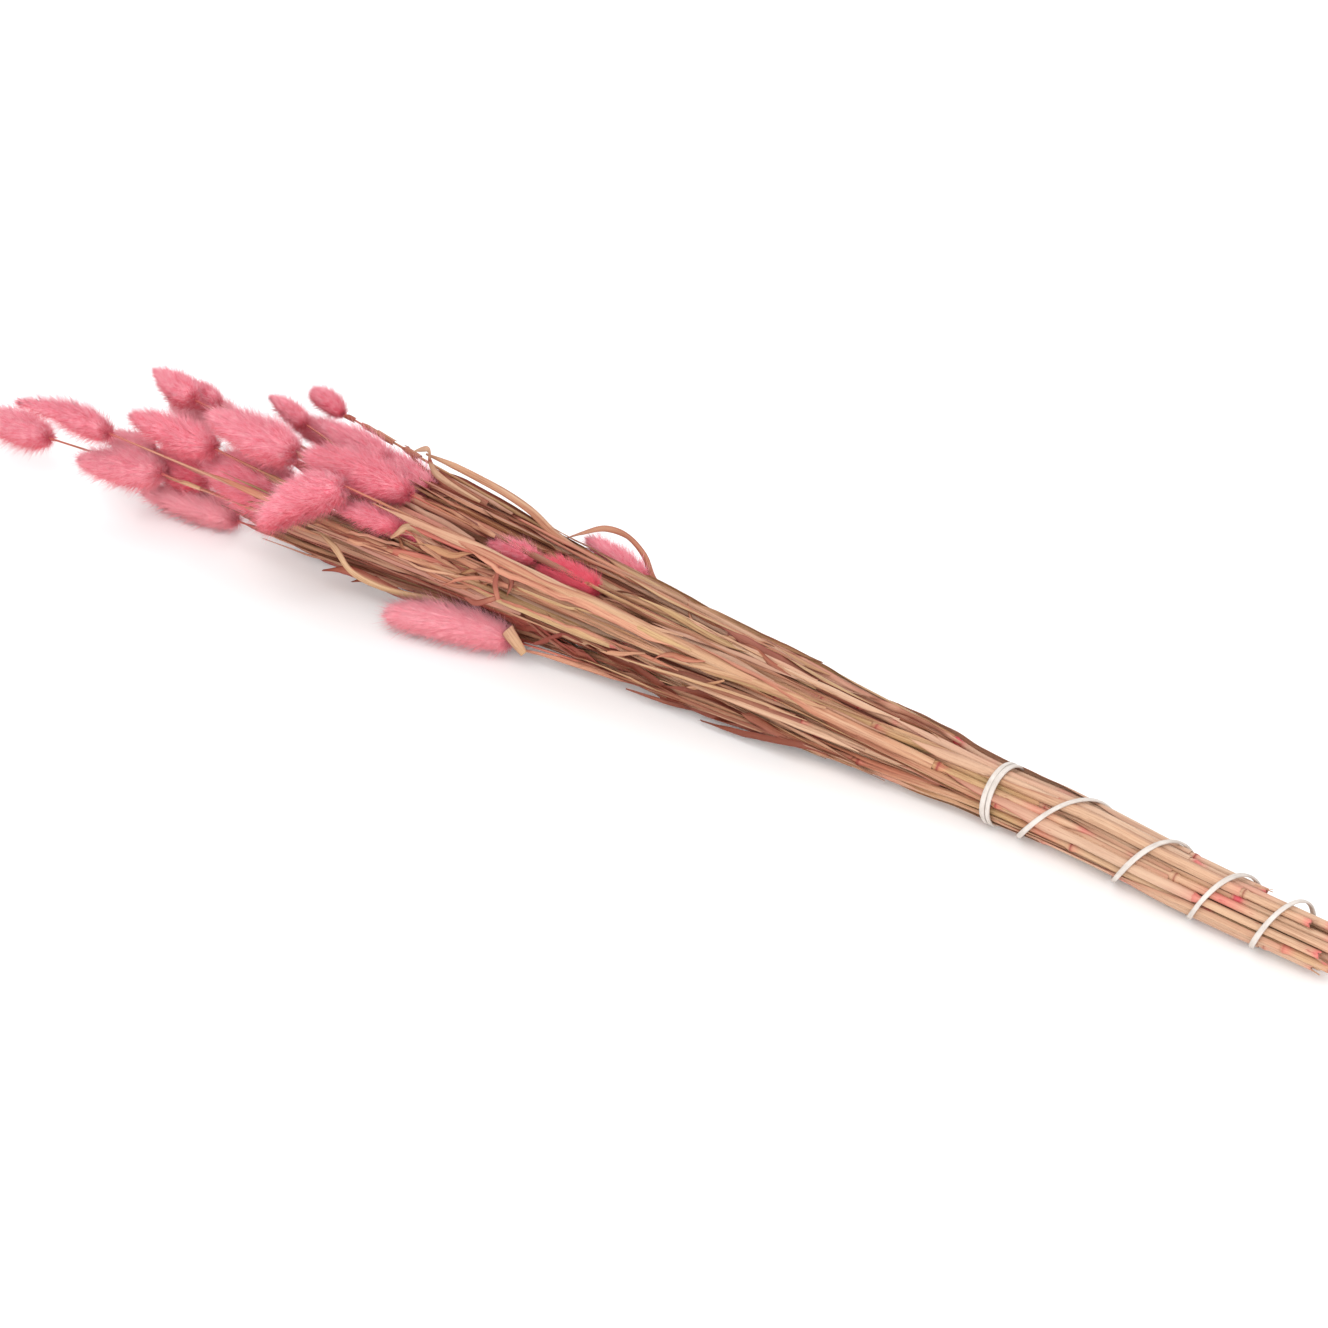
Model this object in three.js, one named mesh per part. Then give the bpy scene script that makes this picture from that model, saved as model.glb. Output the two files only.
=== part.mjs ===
// A bunch of dried, pink-dyed bunny tail grass, lying on a table and wound with an elastic band.
// Millimetres, +Z up. The furry heads point to -X and the cut ends to +X. The bunch is laid out
// on a table plane at z = 0, and the whole group is then moved so that its origin is the middle
// of its footprint.

import * as THREE from 'three';
import { mergeVertices } from 'three/addons/utils/BufferGeometryUtils.js';

// ---------------------------------------------------------------- driving dimensions

const GAP = 0.35;            // clear space between neighbouring pieces
const HEAD_GAP = 1.4;        // clear space between a head and the stems that pass it
const FIRST_STATION = -360;  // the first of the planes that the loose stems are laid out on
const STATION_STEP = 20;
const TIE_START = 140;       // the last one: from here to the cut ends the stems are held tight
const TIED_GAP = 0.6;        // clear space between stems there
const TIED_REACH = 0.85;     // how near the bundle's edge its outermost stems start
const EDGE_SLOPE = 0.15;     // a stem that spreads this steeply starts at the bundle's edge

// The tied bundle from there on: [x, centre y, radius].
const BUNDLE = [
  [TIE_START, 19, 10.8],
  [185, 19, 10.8],
  [220, 17, 10.4],
  [250, 16, 10.1],
  [300, 15, 10],
];

const BAND_DIAMETER = 1.8;
const BAND_SIDES = 6;
const BAND_STEPS_PER_HALF_TURN = 10;
// Where the band crosses the lower front edge and the upper back edge of the bundle, in turn:
// two turns side by side, and then four that open and close along the stems.
const BAND_CROSSINGS = [147, 148, 149.6, 151, 161, 186, 203, 222, 236, 251, 262, 274, 278];
const LOWER_FRONT_EDGE = THREE.MathUtils.degToRad(229.5);

const STEM_SIDES = 6;
const RING_SPACING = 2;      // the least distance between two rings of a stem
const HEAD_END_RADIUS = 0.7; // of a stem where its head starts
const NECK_RADIUS = 0.85;    // and at the foot of the bare neck behind the head
const NECK_LENGTH = 45;
const SHEATH_RADIUS = 1.55;  // and where the leaf sheath is wrapped round it, a neck further on
const LOOSE_ROUNDS = 800;    // of laying the stems side by side with room for their leaves ...
const FIRM_ROUNDS = 60;      // ... and then of parting the last that touch
const STRAIGHTENING = 0.3;   // how far a stem is drawn straight in one round

// Room that each stem and its loose leaves take up across the bunch: [x, radius].
const STEM_ROOM = [
  [-360, 1.2],
  [-200, 1.6],
  [-120, 2.4],
  [-40, 2.8],
  [20, 2.7],
  [80, 2.2],
  [TIE_START, 1.8],
];

const HEAD_SIDES = 8;
const HEAD_BALLS = 12;       // the balls that stand for a head where stems keep clear of it
const HEAD_CORE = 0.84;      // the solid head, as a part of its width over the fur
// The outline of a head: [part of its length from the stem, part of its half width].
const HEAD_OUTLINE = [
  [0, 0],
  [0.02, 0.46],
  [0.12, 0.8],
  [0.3, 1],
  [0.55, 0.93],
  [0.8, 0.65],
  [0.95, 0.28],
  [1, 0],
];

// Each head: where it joins its stem, its tip, its width over the fur, and then the radius
// of its stem at the cut end and where along the bunch that stem is cut.
const HEADS = [
  { base: [-320, -34, 24], tip: [-370, -33, 17], width: 16, stem: 1.5, cut: 291 },
  { base: [-272, -40, 46], tip: [-316, -52, 51], width: 13, stem: 1.4, cut: 287 },
  { base: [-256, -27, 26], tip: [-297, -38, 23], width: 16, stem: 1.65, cut: 293 },
  { base: [-271, -17, 27], tip: [-299, -20, 27], width: 12, stem: 1.5, cut: 284 },
  { base: [-226, -22, 48], tip: [-271, -28, 51], width: 17, stem: 1.55, cut: 290 },
  { base: [-238, -12, 23], tip: [-272, -11, 22], width: 14, stem: 1.4, cut: 282 },
  { base: [-256, -4, 52], tip: [-283, -2, 57], width: 14, stem: 1.55, cut: 288 },
  { base: [-258, 12, 42], tip: [-284, 9, 44], width: 12, stem: 1.5, cut: 255 },
  { base: [-262, 19, 28], tip: [-294, 10, 30], width: 12, stem: 1.65, cut: 291 },
  { base: [-184, -15, 56], tip: [-231, -20, 61], width: 17, stem: 1.55, cut: 289 },
  { base: [-195, -14, 33], tip: [-244, -14, 32], width: 15, stem: 1.4, cut: 293 },
  { base: [-226, -13, 7], tip: [-277, -21, 7], width: 16, stem: 1.65, cut: 286 },
  { base: [-206, 13, 50], tip: [-230, 16, 54], width: 10, stem: 1.5, cut: 279 },
  { base: [-196, 25, 40], tip: [-227, 24, 40], width: 12, stem: 1.55, cut: 292 },
  { base: [-162, 16, 46], tip: [-202, 18, 47], width: 12, stem: 1.4, cut: 253 },
  { base: [-128, -6, 54], tip: [-178, -17, 60], width: 16, stem: 1.65, cut: 290 },
  { base: [-144, 24, 36], tip: [-180, 27, 41], width: 11, stem: 1.5, cut: 289 },
  { base: [-205, 35, 46], tip: [-225, 36, 50], width: 12, stem: 1.4, cut: 285 },
  { base: [-146, -26, 60], tip: [-170, -53, 44], width: 17, stem: 1.55, cut: 293 },
  { base: [-122, -20, 47], tip: [-155, -23, 47], width: 11, stem: 1.5, cut: 281 },
  { base: [-112, -8, 38], tip: [-136, -11, 38], width: 9, stem: 1.4, cut: 291 },
  { base: [-70, -12, 8], tip: [-124, -29, 8], width: 19, stem: 1.65, cut: 293 },
  { base: [-64, 1, 43], tip: [-88, -2, 43], width: 9, stem: 1.5, cut: 288 },
  { base: [-37, 7, 35], tip: [-68, 6, 36], width: 10, stem: 1.55, cut: 289 },
  { base: [-37, 34, 28], tip: [-72, 39, 32], width: 10, stem: 1.4, cut: 259 },
];

// Leaf blades that stand out from the stems: half width, thickness and the points that each
// one runs through, [x, y, z, roll in degrees], from its free end to its sheath.
const LEAF_SIDES = 4;
const LEAF_STEPS = 4;        // rings from one of its points to the next
const LEAF_FREE_END = 0.3;   // a blade's width at its ends, as parts of its full width
const LEAF_SHEATH_END = 0.7;
const LEAVES = {
  leaf_arc: {
    halfWidth: 2.2,
    thickness: 0.9,
    points: [
      [-147, 24, 52, 60],
      [-132, 24, 52, 50],
      [-116, 25, 50, 40],
      [-105, 27, 47, 30],
      [-93, 29, 42, 20],
      [-80, 28, 37, 10],
      [-58, 26, 34, 0],
    ],
  },
  leaf_loop: {
    halfWidth: 1.5,
    thickness: 0.8,
    points: [
      [-79, 34, 32, 0],
      [-72, 37, 36, 20],
      [-64, 41, 39, 50],
      [-54, 43, 38, 80],
      [-44, 42, 33, 60],
      [-36, 38, 27, 30],
      [-20, 34, 24, 20],
    ],
  },
  leaf_point: {
    halfWidth: 2,
    thickness: 0.8,
    points: [
      [-161, -27, 14, 0],
      [-151, -24, 17, 30],
      [-141, -20, 14, 60],
      [-126, -17, 11, 80],
      [-108, -12, 9, 80],
    ],
  },
  leaf_bend: {
    halfWidth: 1.8,
    thickness: 0.8,
    points: [
      [-160, -28, 33, 20],
      [-152, -28, 29, 50],
      [-143, -29, 22, 80],
      [-130, -24, 16, 90],
      [-110, -14, 13, 90],
      [-90, -9, 12, 90],
    ],
  },
  leaf_ribbon: {
    halfWidth: 1.5,
    thickness: 0.8,
    points: [
      [-94, -27, 32, 20],
      [-86, -25, 38, 60],
      [-76, -22, 41, 20],
      [-66, -19, 40, 80],
      [-48, -15, 38, 60],
    ],
  },
  leaf_broad: {
    halfWidth: 2.4,
    thickness: 0.9,
    points: [
      [-62, -15, 45, 40],
      [-46, -12, 44, 45],
      [-28, -8, 41, 50],
      [-8, -5, 37, 50],
      [6, -1, 34, 50],
    ],
  },
  leaf_under: {
    halfWidth: 2.2,
    thickness: 0.9,
    points: [
      [-13, -8, 7, 70],
      [4, -3, 5, 60],
      [18, 3, 3.6, 50],
      [44, 9, 2.8, 40],
      [70, 12, 2.6, 30],
      [96, 14, 2.6, 30],
    ],
  },
  leaf_stub: {
    halfWidth: 1.8,
    thickness: 0.8,
    points: [
      [-77, -12, 19, 60],
      [-69, -16, 16, 70],
      [-60, -16, 8, 80],
    ],
  },
  leaf_hook: {
    halfWidth: 1.6,
    thickness: 0.8,
    points: [
      [-152, 18, 56, 60],
      [-144, 18, 56, 20],
      [-135, 18, 52, 60],
      [-118, 18, 48, 80],
    ],
  },
};

const LOOKS = {
  head: { color: 0xf08aa0, roughness: 0.95, metalness: 0 },
  stem: { color: 0xd9b08c, roughness: 0.75, metalness: 0 },
  leaf: { color: 0xb98563, roughness: 0.8, metalness: 0 },
  band: { color: 0xeae6dc, roughness: 0.6, metalness: 0 },
};

// ---------------------------------------------------------------- small helpers

// Reads a list of [x, value, value ...] rows at x, straight between rows and level past them.
function readRows(rows, x) {
  if (x <= rows[0][0]) {
    return rows[0].slice(1);
  }
  for (let i = 1; i < rows.length; i += 1) {
    const [before, after] = [rows[i - 1], rows[i]];
    if (x <= after[0]) {
      const part = (x - before[0]) / (after[0] - before[0]);
      return after.slice(1).map((value, j) => THREE.MathUtils.lerp(before[j + 1], value, part));
    }
  }
  return rows[rows.length - 1].slice(1);
}

// The middle of the tied bundle at x. The band under it lies on the table.
function bundleAt(x) {
  const [y, radius] = readRows(BUNDLE, x);
  return { y, z: radius + BAND_DIAMETER + GAP, radius };
}

// A closed solid with one ring for each radius and an end point on its axis at each end.
// place(ring, across, up) says where a point of a ring goes. Rings run towards +X.
function ringSolid(radii, sides, place) {
  const last = radii.length - 1;
  const profile = radii.map((radius, ring) => new THREE.Vector2(radius, ring));
  const ends = [new THREE.Vector2(0, 0), new THREE.Vector2(0, last)];
  const lathe = new THREE.LatheGeometry([ends[0], ...profile, ends[1]], sides);
  lathe.deleteAttribute('normal');
  lathe.deleteAttribute('uv');
  const solid = mergeVertices(lathe, 1e-4);
  const position = solid.getAttribute('position');
  for (let i = 0; i < position.count; i += 1) {
    const ring = Math.round(position.getY(i));
    const point = place(ring, position.getZ(i), position.getX(i));
    position.setXYZ(i, point.x, point.y, point.z);
  }
  return solid;
}

function namedMesh(name, geometry, look) {
  const mesh = new THREE.Mesh(geometry, new THREE.MeshStandardMaterial(look));
  mesh.name = name;
  return mesh;
}

// ---------------------------------------------------------------- heads

const heads = HEADS.map((row, index) => ({
  ...row,
  number: String(index + 1).padStart(2, '0'),
  base: new THREE.Vector3(...row.base),
  tip: new THREE.Vector3(...row.tip),
  coreRadius: (row.width / 2) * HEAD_CORE,
}));

function headMesh(head) {
  const along = new THREE.Vector3().subVectors(head.base, head.tip);
  const axis = along.clone().normalize();
  const across = new THREE.Vector3(0, 0, 1).cross(axis).normalize();
  const up = new THREE.Vector3().crossVectors(axis, across);
  const outline = [...HEAD_OUTLINE].reverse();
  const shape = outline.map(([part, width]) => {
    return new THREE.Vector2(width * head.coreRadius, 1 - part);
  });
  const lathe = new THREE.LatheGeometry(shape, HEAD_SIDES);
  const turn = new THREE.Matrix4().makeBasis(up, along, across);
  lathe.applyMatrix4(turn.setPosition(head.tip));
  lathe.deleteAttribute('normal');
  lathe.deleteAttribute('uv');
  return namedMesh(`head_${head.number}`, mergeVertices(lathe, 1e-4), LOOKS.head);
}

// The part of a head that a plane across the bunch cuts, as circles to keep clear of.
function headCircles(head, x) {
  const circles = [];
  for (let i = 0; i < HEAD_BALLS; i += 1) {
    const part = (i + 0.5) / HEAD_BALLS;
    const centre = head.base.clone().lerp(head.tip, part);
    const ball = head.coreRadius * readRows(HEAD_OUTLINE, part)[0];
    const offset = Math.abs(x - centre.x);
    if (offset < ball) {
      const radius = Math.sqrt(ball * ball - offset * offset) + HEAD_GAP;
      circles.push({ head, y: centre.y, z: centre.z, radius });
    }
  }
  return circles;
}

// ---------------------------------------------------------------- how the stems lie

const stations = [];
for (let x = FIRST_STATION; x <= TIE_START; x += STATION_STEP) {
  stations.push(x);
}

// A stem's own radius: its cut end, its sheath, and its bare neck behind the head.
function stemRadius(head, x) {
  const neckEnd = head.base.x + NECK_LENGTH;
  return readRows(
    [
      [head.base.x, HEAD_END_RADIUS],
      [neckEnd, NECK_RADIUS],
      [neckEnd + NECK_LENGTH, SHEATH_RADIUS],
      [TIE_START, head.stem],
    ],
    x,
  )[0];
}

// Places in the tied bundle, on rings of 1, 6, 12 and 6, as [across, up] parts of its radius.
function bundlePlaces() {
  const rings = [[1, 0], [6, 0.36], [12, 0.72], [6, 0.84]];
  const places = [];
  rings.forEach(([count, part]) => {
    for (let i = 0; i < count; i += 1) {
      const angle = (2 * Math.PI * (i + part)) / count;
      places.push([part * Math.cos(angle), part * Math.sin(angle)]);
    }
  });
  return places;
}

// Each stem takes the free place in the bundle that faces its head best, outermost heads first.
function choosePlaces() {
  const free = bundlePlaces();
  const start = bundleAt(TIE_START);
  const wanted = heads.map((head) => {
    const run = (TIE_START - head.base.x) * EDGE_SLOPE;
    return { head, side: [(head.base.y - start.y) / run, (head.base.z - start.z) / run] };
  });
  wanted.sort((a, b) => Math.hypot(...b.side) - Math.hypot(...a.side));
  wanted.forEach(({ head, side }) => {
    const miss = (place) => Math.hypot(place[0] - side[0], place[1] - side[1]);
    free.sort((a, b) => miss(a) - miss(b));
    head.place = free.shift();
  });
}

// First guess: straight from the tied bundle to the head.
function firstRoute(head) {
  const bundle = bundleAt(TIE_START);
  const [startY, startZ] = head.place.map((part) => part * bundle.radius * TIED_REACH);
  return stations.map((x) => {
    const part = Math.min(1, (TIE_START - x) / (TIE_START - head.base.x));
    const y = THREE.MathUtils.lerp(bundle.y + startY, head.base.y, part);
    const z = THREE.MathUtils.lerp(bundle.z + startZ, head.base.z, part);
    return { x, y, z };
  });
}

// Under the band the stems run side by side, and draw together with the bundle.
function tiedPoint(head, x) {
  const start = bundleAt(TIE_START);
  const here = bundleAt(x);
  const scale = here.radius / start.radius;
  const from = head.route[head.route.length - 1];
  return { x, y: here.y + (from.y - start.y) * scale, z: here.z + (from.z - start.z) * scale };
}

// What the stems keep clear of on each plane: heads and leaf blades, as circles.
const obstacles = stations.map((x) => {
  const circles = heads.flatMap((head) => headCircles(head, x));
  Object.values(LEAVES).forEach((leaf) => {
    const first = leaf.points[0][0] - STATION_STEP;
    const last = leaf.points[leaf.points.length - 1][0] + STATION_STEP;
    if (x > first && x < last) {
      const [y, z] = readRows(leaf.points, x);
      circles.push({ y, z, radius: leaf.halfWidth + 2 * GAP });
    }
  });
  return circles;
});

// Parts two circles' middles to the given distance. The first moves by its share of that.
function pushApart(a, b, distance, shareOfA) {
  const dy = b.y - a.y;
  const dz = b.z - a.z;
  const length = Math.hypot(dy, dz) || 1e-6;
  const overlap = distance - length;
  if (overlap <= 0) {
    return;
  }
  a.y -= (dy / length) * overlap * shareOfA;
  a.z -= (dz / length) * overlap * shareOfA;
  b.y += (dy / length) * overlap * (1 - shareOfA);
  b.z += (dz / length) * overlap * (1 - shareOfA);
}

// Keeps one plane's stems clear of each other, of heads and leaves, of the table and the band.
// room is the least radius that each stem takes up there.
function settlePlane(k, room) {
  const x = stations[k];
  const present = heads.filter((head) => x > head.base.x);
  const gap = x < TIE_START ? GAP : TIED_GAP;
  const radius = (head) => Math.max(stemRadius(head, x) + gap / 2, room);
  const bundle = bundleAt(x);
  present.forEach((head, i) => {
    const point = head.route[k];
    present.slice(i + 1).forEach((other) => {
      pushApart(point, other.route[k], radius(head) + radius(other), 0.5);
    });
    obstacles[k].forEach((circle) => {
      if (circle.head !== head) {
        pushApart(point, { ...circle }, circle.radius + stemRadius(head, x), 1);
      }
    });
    if (x >= TIE_START) {
      const reach = bundle.radius - stemRadius(head, x);
      const out = Math.hypot(point.y - bundle.y, point.z - bundle.z);
      if (out > reach) {
        point.y = bundle.y + ((point.y - bundle.y) * reach) / out;
        point.z = bundle.z + ((point.z - bundle.z) * reach) / out;
      }
    }
    point.z = Math.max(point.z, stemRadius(head, x));
  });
}

// Draws each stem towards a straight line between its neighbours along the bunch.
function straighten(head, share) {
  for (let k = 0; k < stations.length - 1; k += 1) {
    const x = stations[k];
    if (x > head.base.x) {
      const before = k > 0 && stations[k - 1] > head.base.x ? head.route[k - 1] : head.base;
      const after = head.route[k + 1];
      const part = (x - before.x) / (after.x - before.x);
      const point = head.route[k];
      point.y += share * (THREE.MathUtils.lerp(before.y, after.y, part) - point.y);
      point.z += share * (THREE.MathUtils.lerp(before.z, after.z, part) - point.z);
    }
  }
}

function layStems() {
  choosePlaces();
  heads.forEach((head) => {
    head.route = firstRoute(head);
  });
  for (let round = 0; round < LOOSE_ROUNDS; round += 1) {
    heads.forEach((head) => straighten(head, STRAIGHTENING));
    stations.forEach((x, k) => settlePlane(k, x < TIE_START ? readRows(STEM_ROOM, x)[0] : 0));
  }
  for (let round = 0; round < FIRM_ROUNDS; round += 1) {
    stations.forEach((x, k) => settlePlane(k, 0));
  }
}

function stemMesh(head) {
  const start = head.base.clone();
  start.x += GAP;
  const loose = head.route.filter((point) => point.x > start.x + RING_SPACING);
  const tied = BUNDLE.slice(1, -1).filter((row) => row[0] < head.cut - RING_SPACING);
  const tiedRings = [...tied.map((row) => row[0]), head.cut];
  const centres = [start, ...loose, ...tiedRings.map((x) => tiedPoint(head, x))];
  const radii = centres.map((point) => stemRadius(head, point.x));
  const solid = ringSolid(radii, STEM_SIDES, (ring, across, up) => {
    const centre = centres[ring];
    return new THREE.Vector3(centre.x, centre.y + across, centre.z + up);
  });
  return namedMesh(`stem_${head.number}`, solid, LOOKS.stem);
}

// ---------------------------------------------------------------- leaves

function leafMesh(name, leaf) {
  const places = leaf.points.map(([x, y, z]) => new THREE.Vector3(x, y, z));
  const route = new THREE.CatmullRomCurve3(places);
  const rolls = leaf.points.map((point, i) => [i, THREE.MathUtils.degToRad(point[3])]);
  const last = (leaf.points.length - 1) * LEAF_STEPS;
  const widths = [
    [0, LEAF_FREE_END],
    [LEAF_STEPS, 1],
    [last - LEAF_STEPS, 1],
    [last, LEAF_SHEATH_END],
  ];
  const radii = [];
  for (let ring = 0; ring <= last; ring += 1) {
    radii.push(leaf.halfWidth * readRows(widths, ring)[0]);
  }
  const thin = leaf.thickness / (2 * leaf.halfWidth);
  const solid = ringSolid(radii, LEAF_SIDES, (ring, across, up) => {
    const centre = route.getPoint(ring / last);
    const [roll] = readRows(rolls, ring / LEAF_STEPS);
    const flat = new THREE.Vector2(across, up * thin);
    flat.rotateAround(new THREE.Vector2(0, 0), roll);
    return new THREE.Vector3(centre.x, centre.y + flat.x, centre.z + flat.y);
  });
  return namedMesh(name, solid, LOOKS.leaf);
}

// ---------------------------------------------------------------- elastic band

function bandMesh() {
  const knots = BAND_CROSSINGS.map((x, i) => new THREE.Vector3(x, i, 0));
  const advance = new THREE.CatmullRomCurve3(knots);
  const halfTurns = BAND_CROSSINGS.length - 1;
  const steps = halfTurns * BAND_STEPS_PER_HALF_TURN;
  const bandRadius = BAND_DIAMETER / 2;
  const outward = (angle) => new THREE.Vector3(0, Math.cos(angle), Math.sin(angle));
  const centre = (step) => {
    const { x } = advance.getPoint(THREE.MathUtils.clamp(step / steps, 0, 1));
    const bundle = bundleAt(x);
    const angle = LOWER_FRONT_EDGE - (Math.PI * step) / BAND_STEPS_PER_HALF_TURN;
    const reach = bundle.radius + GAP + bandRadius;
    const point = outward(angle).multiplyScalar(reach);
    return { angle, point: point.add(new THREE.Vector3(x, bundle.y, bundle.z)) };
  };
  const radii = new Array(steps + 1).fill(bandRadius);
  const solid = ringSolid(radii, BAND_SIDES, (ring, across, up) => {
    const { angle, point } = centre(ring);
    const forward = centre(ring + 1).point.sub(centre(ring - 1).point).normalize();
    const out = outward(angle);
    const side = new THREE.Vector3().crossVectors(out, forward).normalize();
    return point.addScaledVector(side, across).addScaledVector(out, up);
  });
  return namedMesh('elastic_band', solid, LOOKS.band);
}

// ---------------------------------------------------------------- the whole bunch

layStems();

const bunch = new THREE.Group();
heads.forEach((head) => bunch.add(headMesh(head)));
heads.forEach((head) => bunch.add(stemMesh(head)));
Object.entries(LEAVES).forEach(([name, leaf]) => bunch.add(leafMesh(name, leaf)));
bunch.add(bandMesh());

const box = new THREE.Box3().setFromObject(bunch);
const middle = box.getCenter(new THREE.Vector3());
bunch.position.set(-middle.x, -middle.y, -box.min.z);

export default bunch;
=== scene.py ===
import math

import bpy
import numpy as np
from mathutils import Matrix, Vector


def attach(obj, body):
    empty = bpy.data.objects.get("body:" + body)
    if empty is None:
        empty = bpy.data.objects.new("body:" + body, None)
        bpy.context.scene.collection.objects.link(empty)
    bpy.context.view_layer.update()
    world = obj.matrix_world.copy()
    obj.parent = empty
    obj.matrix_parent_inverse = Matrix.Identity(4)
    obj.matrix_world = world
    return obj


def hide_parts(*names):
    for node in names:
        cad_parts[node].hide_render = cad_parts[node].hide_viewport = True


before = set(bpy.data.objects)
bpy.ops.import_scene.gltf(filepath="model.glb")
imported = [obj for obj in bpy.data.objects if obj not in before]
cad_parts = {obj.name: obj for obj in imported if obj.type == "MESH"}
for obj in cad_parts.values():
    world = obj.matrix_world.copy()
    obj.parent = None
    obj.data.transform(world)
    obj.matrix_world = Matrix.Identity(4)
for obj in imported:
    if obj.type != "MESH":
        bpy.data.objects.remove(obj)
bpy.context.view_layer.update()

# A lying bunch of pink-dyed, dried bunny tail grass. Metres, in the frame of the CAD model: the
# heads point to -X, the cut ends to +X, and the table is z = 0. Heads, stalks and leaves take
# their places from the CAD nodes that they replace. Each piece is drawn with its own seed.

MM = 0.001
SEED = 11
HEAD_SHAPE, HEAD_HAIR, STALK, LEAF, BAND = 1, 2, 3, 4, 5     # what a row of random numbers is for
HEADS = 25
TABLE_GAP = 0.05 * MM        # no piece comes nearer to the table than this
LOWER_FRONT_EDGE = math.radians(229.5)   # round the bunch from +Y towards the top
UPPER_BACK_EDGE = math.radians(49.5)
UP = np.array([0.0, 0.0, 1.0])
LENGTHWISE = np.array([1.0, 0.0, 0.0])
FRONT = np.array([0, -0.76, 0.65])       # across the bunch, towards the photograph's side

# ---------- camera, light and floor

CAMERA_AZIMUTH = 38.7        # degrees: the photograph looks along the bunch from its front right
CAMERA_ELEVATION = 33.7
CAMERA_DISTANCE = 1.25
CAMERA_LENS, SENSOR = 85.66, 36          # mm
CAMERA_AIM = (0.0385, 0.0048, 0.02)
WORLD_STRENGTH = 0.94
# By name: azimuth and elevation in degrees, distance and size in metres, power in watts.
LAMPS = {
    "key_lamp": (18, 56, 2.2, 1.8, 18), "side_lamp": (50, 28, 2.4, 1.8, 14),
    "low_lamp": (10, 18, 2.2, 1.4, 11), "back_lamp": (215, 42, 2.4, 1.8, 15)}
FLOOR_SIZE = 12.0
FLOOR_GREY = 0.93
FLOOR_DROP = 0.2 * MM        # the floor lies this little under the table plane


def direction(azimuth, elevation):
    """The unit vector towards a viewer or a lamp at these angles, in degrees."""
    a, e = math.radians(azimuth), math.radians(elevation)
    return Vector((math.sin(a) * math.cos(e), -math.cos(a) * math.cos(e), math.sin(e)))


def aimed(name, data, place, target):
    """Adds an object at place whose -Z looks at target."""
    ob = bpy.data.objects.new(name, data)
    bpy.context.scene.collection.objects.link(ob)
    ob.location = place
    ob.rotation_euler = (Vector(target) - Vector(place)).to_track_quat("-Z", "Y").to_euler()
    return ob


def add_camera():
    data = bpy.data.cameras.new("camera")
    data.lens = CAMERA_LENS
    data.sensor_width = SENSOR
    data.sensor_fit = "HORIZONTAL"
    data.clip_start, data.clip_end = 0.05, 50
    back = direction(CAMERA_AZIMUTH, CAMERA_ELEVATION)
    place = Vector(CAMERA_AIM) + back * CAMERA_DISTANCE
    bpy.context.scene.camera = aimed("camera", data, place, CAMERA_AIM)


def add_lamp(name, azimuth, elevation, distance, size, power):
    data = bpy.data.lights.new(name, "AREA")
    data.shape = "DISK"
    data.size = size
    data.energy = power
    place = Vector(CAMERA_AIM) + direction(azimuth, elevation) * distance
    aimed(name, data, place, CAMERA_AIM)


def add_studio():
    scene = bpy.context.scene
    scene.view_settings.view_transform = "Standard"
    world = bpy.data.worlds.new("studio")
    world.use_nodes = True
    background = world.node_tree.nodes["Background"]
    background.inputs["Color"].default_value = (1, 1, 1, 1)
    background.inputs["Strength"].default_value = WORLD_STRENGTH
    scene.world = world
    for name, numbers in LAMPS.items():
        add_lamp(name, *numbers)


def add_floor():
    material = bpy.data.materials.new("floor_white")
    material.use_nodes = True
    shader = material.node_tree.nodes["Principled BSDF"]
    shader.inputs["Base Color"].default_value = (FLOOR_GREY,) * 3 + (1,)
    shader.inputs["Roughness"].default_value = 0.9
    shader.inputs["Specular IOR Level"].default_value = 0.1
    half = FLOOR_SIZE / 2
    corners = [(-half, -half), (half, -half), (half, half), (-half, half)]
    mesh = bpy.data.meshes.new("floor")
    mesh.from_pydata([(x, y, -FLOOR_DROP) for x, y in corners], [], [(0, 1, 2, 3)])
    mesh.materials.append(material)
    floor = bpy.data.objects.new("floor", mesh)
    bpy.context.scene.collection.objects.link(floor)


# ---------- materials


def srgb(red, green, blue):
    """A screen colour, 0 to 255, as the linear colour that a shader takes."""
    def linear(value):
        part = value / 255
        return part / 12.92 if part <= 0.04045 else ((part + 0.055) / 1.055) ** 2.4
    return (linear(red), linear(green), linear(blue), 1.0)


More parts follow.
